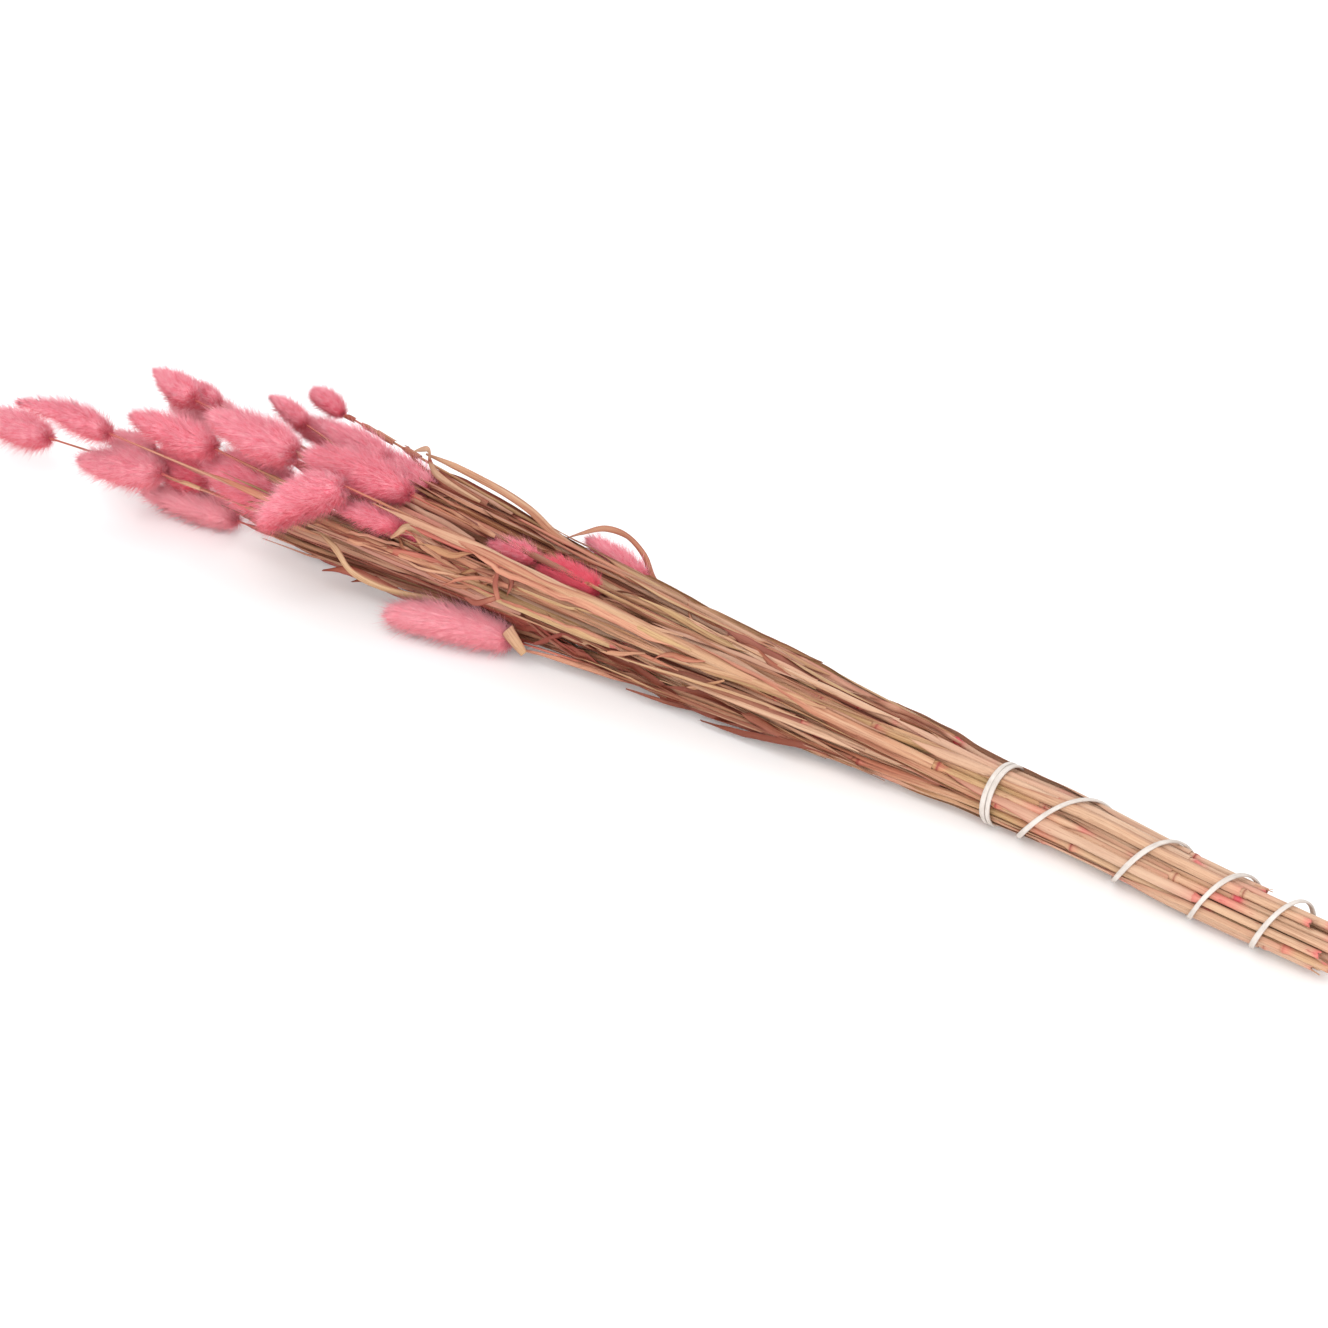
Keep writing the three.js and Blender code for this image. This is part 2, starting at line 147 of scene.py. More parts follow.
class Nodes:
    """Short calls that add and join the nodes of one material."""

    def __init__(self, name):
        self.material = bpy.data.materials.new(name)
        self.material.use_nodes = True
        self.tree = self.material.node_tree
        self.shader = self.tree.nodes["Principled BSDF"]

    def add(self, kind, sockets=None, **settings):
        node = self.tree.nodes.new(kind)
        for key, value in settings.items():
            setattr(node, key, value)
        for key, value in (sockets or {}).items():
            self.put(node.inputs[key], value)
        return node

    def put(self, socket, value):
        """Joins an output to a socket, or sets the socket's own value."""
        if isinstance(value, bpy.types.NodeSocket):
            self.tree.links.new(value, socket)
        else:
            socket.default_value = value

    def attribute(self, name):
        """The mesh's own vector of this name, whole and as three numbers."""
        node = self.add("ShaderNodeAttribute", attribute_name=name)
        parts = self.add("ShaderNodeSeparateXYZ", {0: node.outputs["Vector"]})
        return node.outputs["Vector"], parts.outputs

    def noise(self, vector, stretch, detail=3.0, roughness=0.55):
        """Noise with this many waves per unit of each coordinate."""
        scaled = self.add("ShaderNodeVectorMath", {0: vector, 1: stretch}, operation="MULTIPLY")
        node = self.add("ShaderNodeTexNoise", {
            "Vector": scaled.outputs[0], "Scale": 1.0, "Detail": detail, "Roughness": roughness})
        return node.outputs["Fac"]

    def span(self, value, low, high, to_low=0.0, to_high=1.0):
        """Goes from to_low to to_high as value goes from low to high."""
        node = self.add("ShaderNodeMapRange", {
            "Value": value, "From Min": low, "From Max": high,
            "To Min": to_low, "To Max": to_high})
        return node.outputs["Result"]

    def math(self, operation, first, second):
        return self.add("ShaderNodeMath", {0: first, 1: second}, operation=operation).outputs[0]

    def ramp(self, value, *stops):
        """A colour for each value, from stops of a value and a screen colour."""
        node = self.add("ShaderNodeValToRGB", {"Fac": value})
        elements = node.color_ramp.elements
        while len(elements) < len(stops):
            elements.new(0.5)
        for element, (place, *colour) in zip(elements, stops):
            element.position = place
            element.color = srgb(*colour)
        return node.outputs["Color"]

    def mix(self, part, first, second):
        """The first colour, with this part of the second."""
        node = self.add("ShaderNodeMix", data_type="RGBA")
        for socket, value in ((0, part), (6, first), (7, second)):
            self.put(node.inputs[socket], value)
        return node.outputs[2]

    def tint(self, colour, value, low, high, most, tone):
        """Mixes in a screen colour as value goes from low to high, up to the share most."""
        return self.mix(self.span(value, low, high, 0.0, most), colour, srgb(*tone))

    def bump(self, height, strength, distance):
        node = self.add("ShaderNodeBump", {
            "Height": height, "Strength": strength, "Distance": distance})
        self.put(self.shader.inputs["Normal"], node.outputs["Normal"])


def fur_material():
    """Soft dyed hair. strand holds each point's part of the hair's length, a random number of
    the hair and one of its lock; place holds its place on the head, and coat how far the coat
    there is turned up, how near it is to the stem and the head's own number for its dye and its
    painted light. The roots and the core are painted dark red as shade deep in the coat, and the
    undersides and the pit at the stem darker red as painted shade. A head's own number darkens
    it as painted shade, partly deeper dye, or lightens it as painted light."""
    nodes = Nodes("dyed_fur")
    _, (along, own, lock) = nodes.attribute("strand")
    place, _ = nodes.attribute("place")
    _, (upward, near_stem, depth) = nodes.attribute("coat")
    # darker red towards the roots: painted shade deep among the hairs; lighter towards the tips
    colour = nodes.ramp(along, (0.0, 214, 64, 86), (0.35, 252, 136, 152), (1.0, 255, 206, 212))
    warm = nodes.noise(place, (0.14, 0.14, 0.14))
    colour = nodes.tint(colour, warm, 0.42, 0.7, 0.45, (242, 122, 136))
    dusty = nodes.noise(place, (0.09, 0.22, 0.22))
    colour = nodes.tint(colour, dusty, 0.52, 0.75, 0.4, (250, 196, 198))
    each = nodes.ramp(own, (0.0, 228, 92, 118), (0.5, 252, 158, 176), (1.0, 255, 216, 222))
    colour = nodes.mix(0.45, colour, each)
    colour = nodes.tint(colour, lock, 0, 1, 0.45, (234, 104, 126))
    # painted shade: darker red where the coat faces down
    colour = nodes.tint(colour, upward, 0.3, -0.6, 0.72, (226, 70, 84))
    mottle = nodes.noise(place, (0.3, 0.6, 0.6), detail=4.0)
    colour = nodes.tint(colour, mottle, 0.5, 0.68, 0.4, (228, 86, 104))
    colour = nodes.tint(colour, mottle, 0.48, 0.34, 0.35, (255, 200, 206))
    # painted shade, partly deeper dye: darker red on heads in the shade of others; then painted
    # light: paler on heads that the bundle shades
    colour = nodes.tint(colour, depth, 0, 1, 1.0, (226, 62, 84))
    colour = nodes.tint(colour, depth, 0, -1, 1.0, (252, 180, 187))
    # painted shade: dark red in the pit where the stem enters
    colour = nodes.tint(colour, near_stem, 0, 1, 0.75, (196, 50, 70))
    nodes.put(nodes.shader.inputs["Base Color"], colour)
    nodes.put(nodes.shader.inputs["Roughness"], nodes.span(own, 0, 1, 0.75, 0.95))
    nodes.shader.inputs["Specular IOR Level"].default_value = 0.15
    nodes.shader.inputs["Sheen Weight"].default_value = 0.25
    nodes.shader.inputs["Sheen Roughness"].default_value = 0.5
    nodes.shader.inputs["Sheen Tint"].default_value = srgb(255, 210, 216)
    return nodes.material


def straw_material():
    """Dry stalk and leaf. grain is a place on the piece in mm, the third number along it; look
    holds the strip's own tone, its dye and how dull and brown it is."""
    nodes = Nodes("dry_straw")
    grain, _ = nodes.attribute("grain")
    _, (tone, dye, dull) = nodes.attribute("look")
    colour = nodes.ramp(
        tone, (0.0, 199, 168, 143), (0.16, 196, 158, 131), (0.32, 196, 158, 127),
        (0.46, 188, 154, 110), (0.6, 180, 151, 104), (0.74, 192, 150, 116),
        (0.88, 186, 138, 106), (1.0, 178, 116, 88))
    cloud = nodes.noise(grain, (0.12, 0.12, 0.02), detail=2.0)
    colour = nodes.tint(colour, cloud, 0.52, 0.8, 0.45, (198, 148, 116))
    pale = nodes.noise(grain, (0.25, 0.25, 0.012), detail=2.0)
    colour = nodes.tint(colour, pale, 0.5, 0.75, 0.6, (196, 167, 139))
    streak = nodes.noise(grain, (1.5, 1.5, 0.03), detail=5.0, roughness=0.8)
    colour = nodes.tint(colour, streak, 0.53, 0.68, 0.6, (199, 174, 144))
    fleck = nodes.noise(grain, (0.9, 0.9, 0.16), detail=3.0)
    colour = nodes.tint(colour, fleck, 0.66, 0.74, 0.7, (150, 80, 68))
    colour = nodes.mix(dull, colour, srgb(136, 60, 38))
    colour = nodes.tint(colour, dull, 0.45, 0.9, 0.55, (84, 38, 26))
    deep = nodes.span(tone, 0.1, 0.5, 0.35, 0.75)
    lines = nodes.math("MULTIPLY", nodes.span(streak, 0.51, 0.36), deep)
    colour = nodes.mix(lines, colour, srgb(116, 58, 38))
    colour = nodes.mix(dye, colour, srgb(206, 62, 84))
    nodes.put(nodes.shader.inputs["Base Color"], colour)
    nodes.put(nodes.shader.inputs["Roughness"], nodes.span(streak, 0.3, 0.7, 0.72, 0.5))
    nodes.shader.inputs["Specular IOR Level"].default_value = 0.35
    veins = nodes.noise(grain, (3.5, 3.5, 0.02), detail=2.0)
    nodes.bump(nodes.mix(0.35, streak, veins), 0.55, 0.25 * MM)
    return nodes.material


def band_material():
    nodes = Nodes("pale_rubber")
    grain, _ = nodes.attribute("grain")
    dust = nodes.noise(grain, (0.5, 0.5, 0.25), detail=4.0)
    colour = nodes.ramp(dust, (0.3, 184, 174, 166), (0.55, 200, 191, 184), (0.8, 212, 204, 198))
    lines = nodes.noise(grain, (6.0, 6.0, 0.1), detail=2.0)
    colour = nodes.tint(colour, lines, 0.5, 0.3, 0.3, (196, 186, 172))
    nodes.put(nodes.shader.inputs["Base Color"], colour)
    nodes.put(nodes.shader.inputs["Roughness"], nodes.span(dust, 0.3, 0.7, 0.55, 0.75))
    nodes.bump(lines, 0.35, 0.15 * MM)
    return nodes.material


# ---------- meshes from grids


def rng_for(kind, number):
    return np.random.default_rng([SEED, kind, number])


def unit(vectors):
    return vectors / np.maximum(np.linalg.norm(vectors, axis=-1, keepdims=True), 1e-12)


CREASE = math.radians(50)    # a dry leaf's edges are crisp from this angle on


def mesh_object(name, points, faces, layers, material, crisp=False):
    """A smooth-shaded object. faces is a list of index arrays, each (count, corners)."""
    mesh = bpy.data.meshes.new(name)
    mesh.vertices.add(len(points))
    mesh.vertices.foreach_set("co", np.asarray(points, np.float32).ravel())
    corners = np.concatenate([block.ravel() for block in faces])
    sizes = np.concatenate([np.full(len(block), block.shape[1]) for block in faces])
    mesh.loops.add(len(corners))
    mesh.loops.foreach_set("vertex_index", corners.astype(np.int32))
    mesh.polygons.add(len(sizes))
    starts = np.concatenate([[0], np.cumsum(sizes)[:-1]])
    mesh.polygons.foreach_set("loop_start", starts.astype(np.int32))
    for key, values in layers.items():
        layer = mesh.attributes.new(key, "FLOAT_VECTOR", "POINT")
        layer.data.foreach_set("vector", np.asarray(values, np.float32).ravel())
    mesh.update(calc_edges=True)
    mesh.shade_smooth()
    if crisp:
        mesh.set_sharp_from_angle(angle=CREASE)
    mesh.materials.append(material)
    ob = bpy.data.objects.new(name, mesh)
    bpy.context.scene.collection.objects.link(ob)
    return ob


def tube_faces(index):
    """The quads of a tube: index is a grid of point numbers whose columns close on themselves."""
    after = np.roll(index, -1, axis=1)
    return np.stack([index[:-1], after[:-1], after[1:], index[1:]], axis=-1).reshape(-1, 4)


def grain_at(over, around, far, start=(0, 0)):
    """A tube's places in its grain, in mm: two numbers across it and one along it."""
    places = np.broadcast_arrays(over + start[0], around, far[:, None] + start[1])
    return np.stack(places, axis=-1)


class Growth:
    """Gathers closed tubes, given as grids of rows of points, into one piece."""

    def __init__(self):
        self.points, self.faces, self.grain, self.look = [], [], [], []
        self.count = 0

    def tube(self, rows, grain, look, flat=False):
        """Adds a tube with closed ends. rows is (rows, columns, 3), and the columns close on
        themselves. In a flat one, they run out on one face of a strip and back on the other."""
        index = self.count + np.arange(rows[..., 0].size).reshape(rows.shape[:2])
        self.faces.append(tube_faces(index))
        for ring, order in ((index[0], 1), (index[-1], -1)):
            end = ring[None]
            if flat:
                front, back = ring[:len(ring) // 2], ring[len(ring) // 2:][::-1]
                end = np.stack([front[:-1], front[1:], back[1:], back[:-1]], axis=-1)
            self.faces.append(end[:, ::order])
        self.points.append(rows.reshape(-1, 3))
        self.grain.append(grain.reshape(-1, 3))
        self.look.append(look.reshape(-1, 3))
        self.count += index.size

    def object(self, name, material):
        layers = {"grain": np.concatenate(self.grain), "look": np.concatenate(self.look)}
        return mesh_object(
            name, np.concatenate(self.points), self.faces, layers, material, crisp=True)


# ---------- numbers along a route


def smoothstep(value, low, high):
    """0 below low, 1 above high and a smooth rise between them; low may be the greater."""
    part = np.clip((value - low) / (high - low), 0, 1)
    return part * part * (3 - 2 * part)


def averaged(values, reach):
    """The mean of each value and its neighbours, as many as reach on both sides."""
    size = 2 * reach + 1
    return np.convolve(np.pad(values, reach, "edge"), np.ones(size) / size, "valid")


def drift(rng, count, size):
    """A smooth random walk."""
    return np.cumsum(averaged(rng.normal(0, size, count), 4))


def columns_at(x, known_x, table):
    """The rows of a table at x, between its own rows at known_x."""
    return np.stack([np.interp(x, known_x, column) for column in table.T], axis=-1)


def at(route, x):
    """The points of a route at these x."""
    return np.column_stack([x, columns_at(x, route[:, 0], route[:, 1:])])


def lengths_along(route):
    """How far along the route each of its points is, in mm."""
    return np.concatenate([[0], np.cumsum(np.linalg.norm(np.diff(route, axis=0), axis=1))]) / MM


# ---------- routes from the CAD nodes

RING_GAP = 0.1 * MM          # points of a CAD solid that are nearer than this along X are one ring


def corners_of(node):
    return np.array([v.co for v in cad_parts[node].data.vertices])


def farthest_two(points):
    apart = np.linalg.norm(points[:, None] - points[None], axis=-1)
    one, other = np.unravel_index(apart.argmax(), apart.shape)
    return points[one], points[other]


def rings_of(node):
    """(centre, the ring's own points) for each ring of a CAD solid whose rings lie across X."""
    co = corners_of(node)
    planes = np.unique(np.round(co[:, 0], 5))
    kept = [planes[0]]
    for x in planes[1:]:
        if x - kept[-1] > RING_GAP:
            kept.append(x)
    rings = []
    for x in kept:
        ring = np.unique(np.round(co[np.abs(co[:, 0] - x) < RING_GAP / 2], 7), axis=0)
        rings.append((ring.mean(axis=0), ring))
    return rings


def smooth_route(centres, step):
    """A Catmull-Rom curve through the centres, with a point about every step."""
    centres = np.asarray(centres)
    before = np.vstack([2 * centres[0] - centres[1], centres[:-1]])
    after = np.vstack([centres[1:], 2 * centres[-1] - centres[-2]])
    slopes = (after - before) / 2
    out = []
    for i in range(len(centres) - 1):
        a, b = centres[i], centres[i + 1]
        count = max(1, int(round(np.linalg.norm(b - a) / step)))
        t = (np.arange(count) / count)[:, None]
        out.append(
            (2 * t**3 - 3 * t**2 + 1) * a + (t**3 - 2 * t**2 + t) * slopes[i]
            + (3 * t**2 - 2 * t**3) * b + (t**3 - t**2) * slopes[i + 1])
    return np.vstack(out + [centres[-1:]])


def across(route):
    """Two unit vectors at each point of a route that lie across it, the second nearly upright."""
    along = unit(np.gradient(route, axis=0))
    side = unit(np.cross(np.broadcast_to(UP, along.shape), along))
    return side, np.cross(along, side)


def turned(route, turn):
    """The unit vectors across the route at these angles."""
    side, up = across(route)
    return side * np.cos(turn)[:, None] + up * np.sin(turn)[:, None]


def turned_flat(turn):
    """Unit vectors across X at these angles, from +Y towards the top."""
    return np.stack([0 * turn, np.cos(turn), np.sin(turn)], axis=-1)


def spun(facing, spin):
    """Directions across the bunch, each turned round X by its own spin."""
    spin = spin[:, None]
    return facing * np.cos(spin) + np.cross(facing, LENGTHWISE) * np.sin(spin)


# ---------- heads

# How far a bent head's middle is off the straight line, in mm, upwards.
HEAD_BENDS = {2: 2.6, 12: 1.2, 16: 1.5, 19: 3.5, 22: 2.2}
# How fast the outline rises at the stem and closes at the tip; a small number is blunt.
HEAD_OUTLINES = {
    1: (0.32, 0.6), 2: (0.3, 1.4), 3: (0.3, 0.7), 5: (0.32, 0.72), 7: (0.35, 1.0), 10: (0.3, 0.7),
    11: (0.25, 0.8), 12: (0.4, 0.75), 13: (0.4, 1.1), 14: (0.3, 0.75), 16: (0.5, 0.7),
    18: (0.4, 0.5), 19: (0.34, 0.55), 20: (0.4, 0.7), 22: (0.24, 0.36)}
# How much wider a head is than the CAD head's width says.
HEAD_WIDTHS = {
    1: 0.86, 2: 0.82, 3: 0.95, 5: 0.8, 6: 1.35, 8: 1.1, 9: 1.35, 10: 0.95, 11: 1.6, 12: 0.8,
    15: 1.1, 17: 1.2, 18: 0.88, 20: 0.86, 22: 0.73, 23: 1.1, 24: 1.35}
# How far a head's hair is swept round it, in radians.
HEAD_SWEEPS = {12: 0.5, 16: -0.35, 19: 0.9}
# Partly how much more of the dye a head took than most, and partly painted shade: darker red on
# heads that lie in the shade of others. Below 0 a head is paler, which is painted light on heads
# that the bundle shades.
HEAD_DYE_AND_PAINTED_LIGHT = {
    3: -0.15, 4: -0.4, 5: 0.14, 6: 0.45, 9: -0.6, 11: 0.2, 12: -0.5, 13: -0.1, 16: 0.18,
    20: 0.1, 21: 0.35, 22: -0.4, 23: 0.25, 24: 0.75}
# How far a head lies off the CAD head's place, in mm.
HEAD_SHIFTS = {
    5: (0, 0, -1.2), 6: (-4.5, 0, -2.4), 9: (2.7, 3, 1), 11: (1, 0, -1.6), 16: (0, 0, -1),
    17: (5, -6.2, 3.8), 20: (0, 0, -0.8), 21: (3.1, -3.9, 3.3), 22: (0, 0, 0.8),
    23: (1, -2.5, 2.1), 24: (2.7, -5.7, 4.9)}
HEAD_FUR = 1 / 0.84          # the fur's width, as a part of the CAD head's
HAIR_RISE = 1.9              # mm that the coat stands off the core
SEGMENTS = np.array([0, 0.4, 1.0])       # the parts of a hair's length where it may bend
HAIR_DROOP = 0.62            # how much of its angle a hair keeps past its bend
HAIR_ROLL = 0.8              # radians that a hair may turn round its own length
HAIR_SHADE = 1.1             # how much a hair's own side counts beside the coat's normal
NORMAL_NOISE = 0.3           # how far the hairs' normals stray from that
TUFT_LENGTH, TUFT_WIDTH = 2.8, 0.85      # mm, along the head and round it
TUFTS, TUFT_PRIME = 1000, 997            # a head's tufts share out these random numbers
BLUNT_END = 0.2              # the part of a head, next to the stem, where its hair stands off more
CORE_DEPTH = 0.4             # mm that the hairs' roots are inside the core
CORE_RINGS, CORE_SIDES = 26, 28
MIDDLING_HEAD = 400          # the length times the half width, in mm, of a head of middling size


def head_axis(number):
    """The stem end, the tip and the half width of the CAD head."""
    co = corners_of(f"head_{number:02d}")
    base, tip = sorted(farthest_two(co), key=lambda point: -point[0])
    axis = unit(tip - base)
    radial = (co - base) - np.outer((co - base) @ axis, axis)
    return base, tip, np.linalg.norm(radial, axis=1).max()


def head_shift(number):
    return np.array(HEAD_SHIFTS.get(number, (0, 0, 0))) * MM


class Head:
    """The shape of one head's dense core, and where a place on it is."""

    def __init__(self, number):
        rng = rng_for(HEAD_SHAPE, number)
        self.base, tip, core = head_axis(number)
        self.base, tip = self.base + head_shift(number), tip + head_shift(number)
        self.length = np.linalg.norm(tip - self.base) / MM
        self.half = core * HEAD_FUR * HEAD_WIDTHS.get(number, 1.0) / MM
        self.hair = np.clip(0.16 * self.length, 4.2, 7.0)
        self.axis = unit(tip - self.base)
        side = unit(np.cross(UP, self.axis))
        self.frame = np.stack([side, np.cross(self.axis, side)])
        self.bend = HEAD_BENDS.get(number, rng.uniform(-0.4, 0.8))
        self.round, self.taper = HEAD_OUTLINES.get(
            number, (rng.uniform(0.28, 0.38), rng.uniform(0.5, 0.7)))
        self.waves = rng.uniform(0, 2 * math.pi, (6, 2))
        self.sweep = HEAD_SWEEPS.get(number, rng.uniform(-0.25, 0.25))

    def lumps(self, s, turn):
        """Smooth random waves over the core, about -1 to 1."""
        total = 0
        for k, (a, b) in enumerate(self.waves):
            total = total + np.sin((2 + 2.5 * k) * s * 3 + a) * np.sin((k % 4 + 1) * turn + b)
        return total / len(self.waves) ** 0.5

    def radius(self, s, turn):
        """The core's radius in mm at part s of its length, 0 at the stem."""
        top = self.round / (self.round + self.taper)
        peak = top**self.round * (1 - top) ** self.taper
        s = np.clip(s, 1e-4, 1 - 1e-4)
        shape = s**self.round * (1 - s) ** self.taper / peak
        return (self.half - HAIR_RISE) * shape * (1 + 0.085 * self.lumps(s, turn))

    def outward(self, turn):
        """Unit vectors across the head at these angles round it."""
        return np.cos(turn)[..., None] * self.frame[0] + np.sin(turn)[..., None] * self.frame[1]

    def place(self, s, turn, out=0.0):
        """The point at part s of the length, turn radians round, out mm outside the core."""
        reach = 0.8 + (self.length - 0.55 * self.hair - 0.8) * s
        point = self.base + self.axis * (reach[..., None] * MM)
        point = point + UP * (self.bend * 4 * s * (1 - s) * MM)[..., None]
        return point + self.outward(turn) * ((self.radius(s, turn) + out) * MM)[..., None]

    def normals(self, s, turn):
        """The core's outward normals, which turn to the axis at both ends."""
        step = 0.01
        ahead = unit(self.place(np.minimum(s + step, 1), turn)
                     - self.place(np.maximum(s - step, 0), turn))
        outward = self.outward(turn)
        ends = self.axis * (np.clip((s - 0.9) / 0.1, 0, 1) - np.clip(1 - s / 0.06, 0, 1))[..., None]
        return unit(outward - ahead * (outward * ahead).sum(-1, keepdims=True) + ends)


def core_grid(head):
    """The core's points, from the stem to the tip, with their outward normals."""
    s = np.concatenate([[0.0], np.linspace(0.01, 0.99, CORE_RINGS) ** 1.2, [1.0]])
    turn = np.linspace(0, 2 * math.pi, CORE_SIDES, endpoint=False)
    s, turn = np.meshgrid(s, turn, indexing="ij")
    return head.place(s, turn), head.normals(s, turn)


def even_roots(head, rng, count):
    """Places on the core, spread evenly over its surface."""
    steps = np.linspace(0, 1, 400)
    room = head.radius(steps, 0 * steps) + 1.2 * (steps < 0.03) + 0.8
    part = np.cumsum(room) / room.sum()
    return np.interp(rng.random(count), part, steps), rng.uniform(0, 2 * math.pi, count)


def hair_paths(head, rng, count, stand, length, loose):
    """(count, 3, 3) points along each hair, the coat's normal there, the hair's own and its
    tuft's random numbers, and how near it is to the stem and to the head's blunt end. stand is
    how steeply the hair stands up, in radians."""
    s, turn = even_roots(head, rng, count)
    root = head.place(s, turn, -CORE_DEPTH)
    surface = head.normals(s, turn)
    outward = head.outward(turn)
    beside = np.cross(head.axis, outward)
    row = np.floor(s * head.length / TUFT_LENGTH + 0.4 * np.sin(turn * 9))
    column = np.floor(turn * head.half / TUFT_WIDTH + 0.5 * row)
    tuft = ((row * 37 + column * 101) % TUFT_PRIME).astype(int)
    tuft_own = rng.random(TUFTS)
    tuft_turn, tuft_stand = rng.normal(0, 1, TUFTS), rng.normal(0, 1, TUFTS)
    end = np.clip(1 - s / BLUNT_END, 0, 1)
    angle = stand * (1.15 - 0.6 * s) + 1.05 * end**1.3 + 0.24 * tuft_stand[tuft]
    angle = angle + 0.9 * np.clip(1 - s / 0.03, 0, 1)
    angle = angle + loose * rng.normal(0, 1, count)
    sweep = head.sweep * np.sin(math.pi * s) + 0.12 * head.lumps(s * 0.7, turn + 2)
    sweep = sweep + 0.2 * tuft_turn[tuft] + loose * rng.normal(0, 0.8, count)
    reach = head.hair * length * rng.uniform(0.6, 1.2, count) * (1 - 0.35 * end)
    paths = [root]
    for before, after, droop in zip(SEGMENTS[:-1], SEGMENTS[1:], (1.0, HAIR_DROOP)):
        tilt = angle * droop
        way = (head.axis * np.cos(tilt)[:, None] + outward * np.sin(tilt)[:, None]
               + beside * (sweep * (0.6 + 0.5 * before))[:, None])
        paths.append(paths[-1] + unit(way) * (reach * (after - before) * MM)[:, None])
    # how near the pit at the stem is, for the painted shade there
    near_stem = np.exp(-(head.radius(s, turn) / 2.2) ** 2) * (s < 0.5)
    return np.stack(paths, axis=1), surface, rng.random(count), tuft_own[tuft], near_stem, end


def blades(paths, surface, rng, width):
    """Flat pointed hairs along the paths: points, quads, triangles, the part of the hair's length
    of each point of a hair, and the normals."""
    count = len(paths)
    along = unit(paths[:, 1:] - paths[:, :-1])
    along = np.concatenate([along[:, :1], along], axis=1)
    flat = unit(np.cross(along, surface[:, None]))
    angle = rng.uniform(-HAIR_ROLL, HAIR_ROLL, count)[:, None, None]
    wide = flat * np.cos(angle) + np.cross(along, flat) * np.sin(angle)
    size = width * rng.uniform(0.7, 1.3, count)[:, None, None] * MM / 2
    taper = np.array([0.75, 1.0])[None, :, None]
    left = paths[:, :2] - wide[:, :2] * size * taper
    right = paths[:, :2] + wide[:, :2] * size * taper
    points = np.concatenate([left, right, paths[:, 2:]], axis=1)
    own = np.cross(wide[:, :1], along[:, :1])
    own = own * np.sign((own * surface[:, None]).sum(-1, keepdims=True))
    shade = surface[:, None] + HAIR_SHADE * own + rng.normal(0, NORMAL_NOISE, own.shape)
    normals = np.repeat(shade, 5, axis=1)
    first = np.arange(count)[:, None] * 5
    quads, tris = first + [0, 2, 3, 1], first + [1, 3, 4]
    return points, quads, tris, SEGMENTS[[0, 1, 0, 1, 2]], unit(normals)


def spikes(paths, surface, rng, width):
    """Three-sided pointed hairs along the paths, given back as blades gives them."""
    count = len(paths)
    along = unit(paths[:, -1] - paths[:, 0])
    one_side = unit(np.cross(along, surface))
    second = np.cross(along, one_side)
    size = width * rng.uniform(0.7, 1.3, count)[:, None] * MM / 2
    spin = rng.uniform(-HAIR_ROLL, HAIR_ROLL, count)[:, None]
    points, normals = [], []
    for k, scale in ((0, 1.0), (1, 0.8)):
        for corner in range(3):
            angle = 2 * math.pi * corner / 3 + spin
            arm = np.cos(angle) * one_side + np.sin(angle) * second
            points.append(paths[:, k] + arm * size * scale)
            normals.append(surface + HAIR_SHADE * arm)
    points = np.stack(points + [paths[:, 2]], axis=1)
    normals = np.stack(normals + [surface + 0.3 * along], axis=1)
    normals = normals + rng.normal(0, NORMAL_NOISE, (count, 1, 3))
    first = np.arange(count)[:, None] * 7
    pairs = [(corner, (corner + 1) % 3) for corner in range(3)]
    quads = np.concatenate([first + [a, b, 3 + b, 3 + a] for a, b in pairs])
    tris = np.concatenate([first + [3 + a, 3 + b, 6] for a, b in pairs])
    return points, quads, tris, SEGMENTS[[0, 0, 0, 1, 1, 1, 2]], unit(normals)


# The layers of the coat: how many hairs there are on a head of middling size and on any head, how
# steeply they stand, their length as a part of the head's own, how loose they are, their width in
# mm and their kind.
COATS = (
    (7000, 900, 0.26, 0.8, 0.12, 0.26, blades),
    (8000, 900, 0.44, 0.9, 0.3, 0.16, spikes),
    (3000, 700, 1.0, 1.3, 0.35, 0.14, spikes))
# The core takes the roots' dark red, which is painted shade deep in the coat.
CORE_STRAND = (0.0, 0.3, 0.5)            # the core is coloured as the roots of the hair


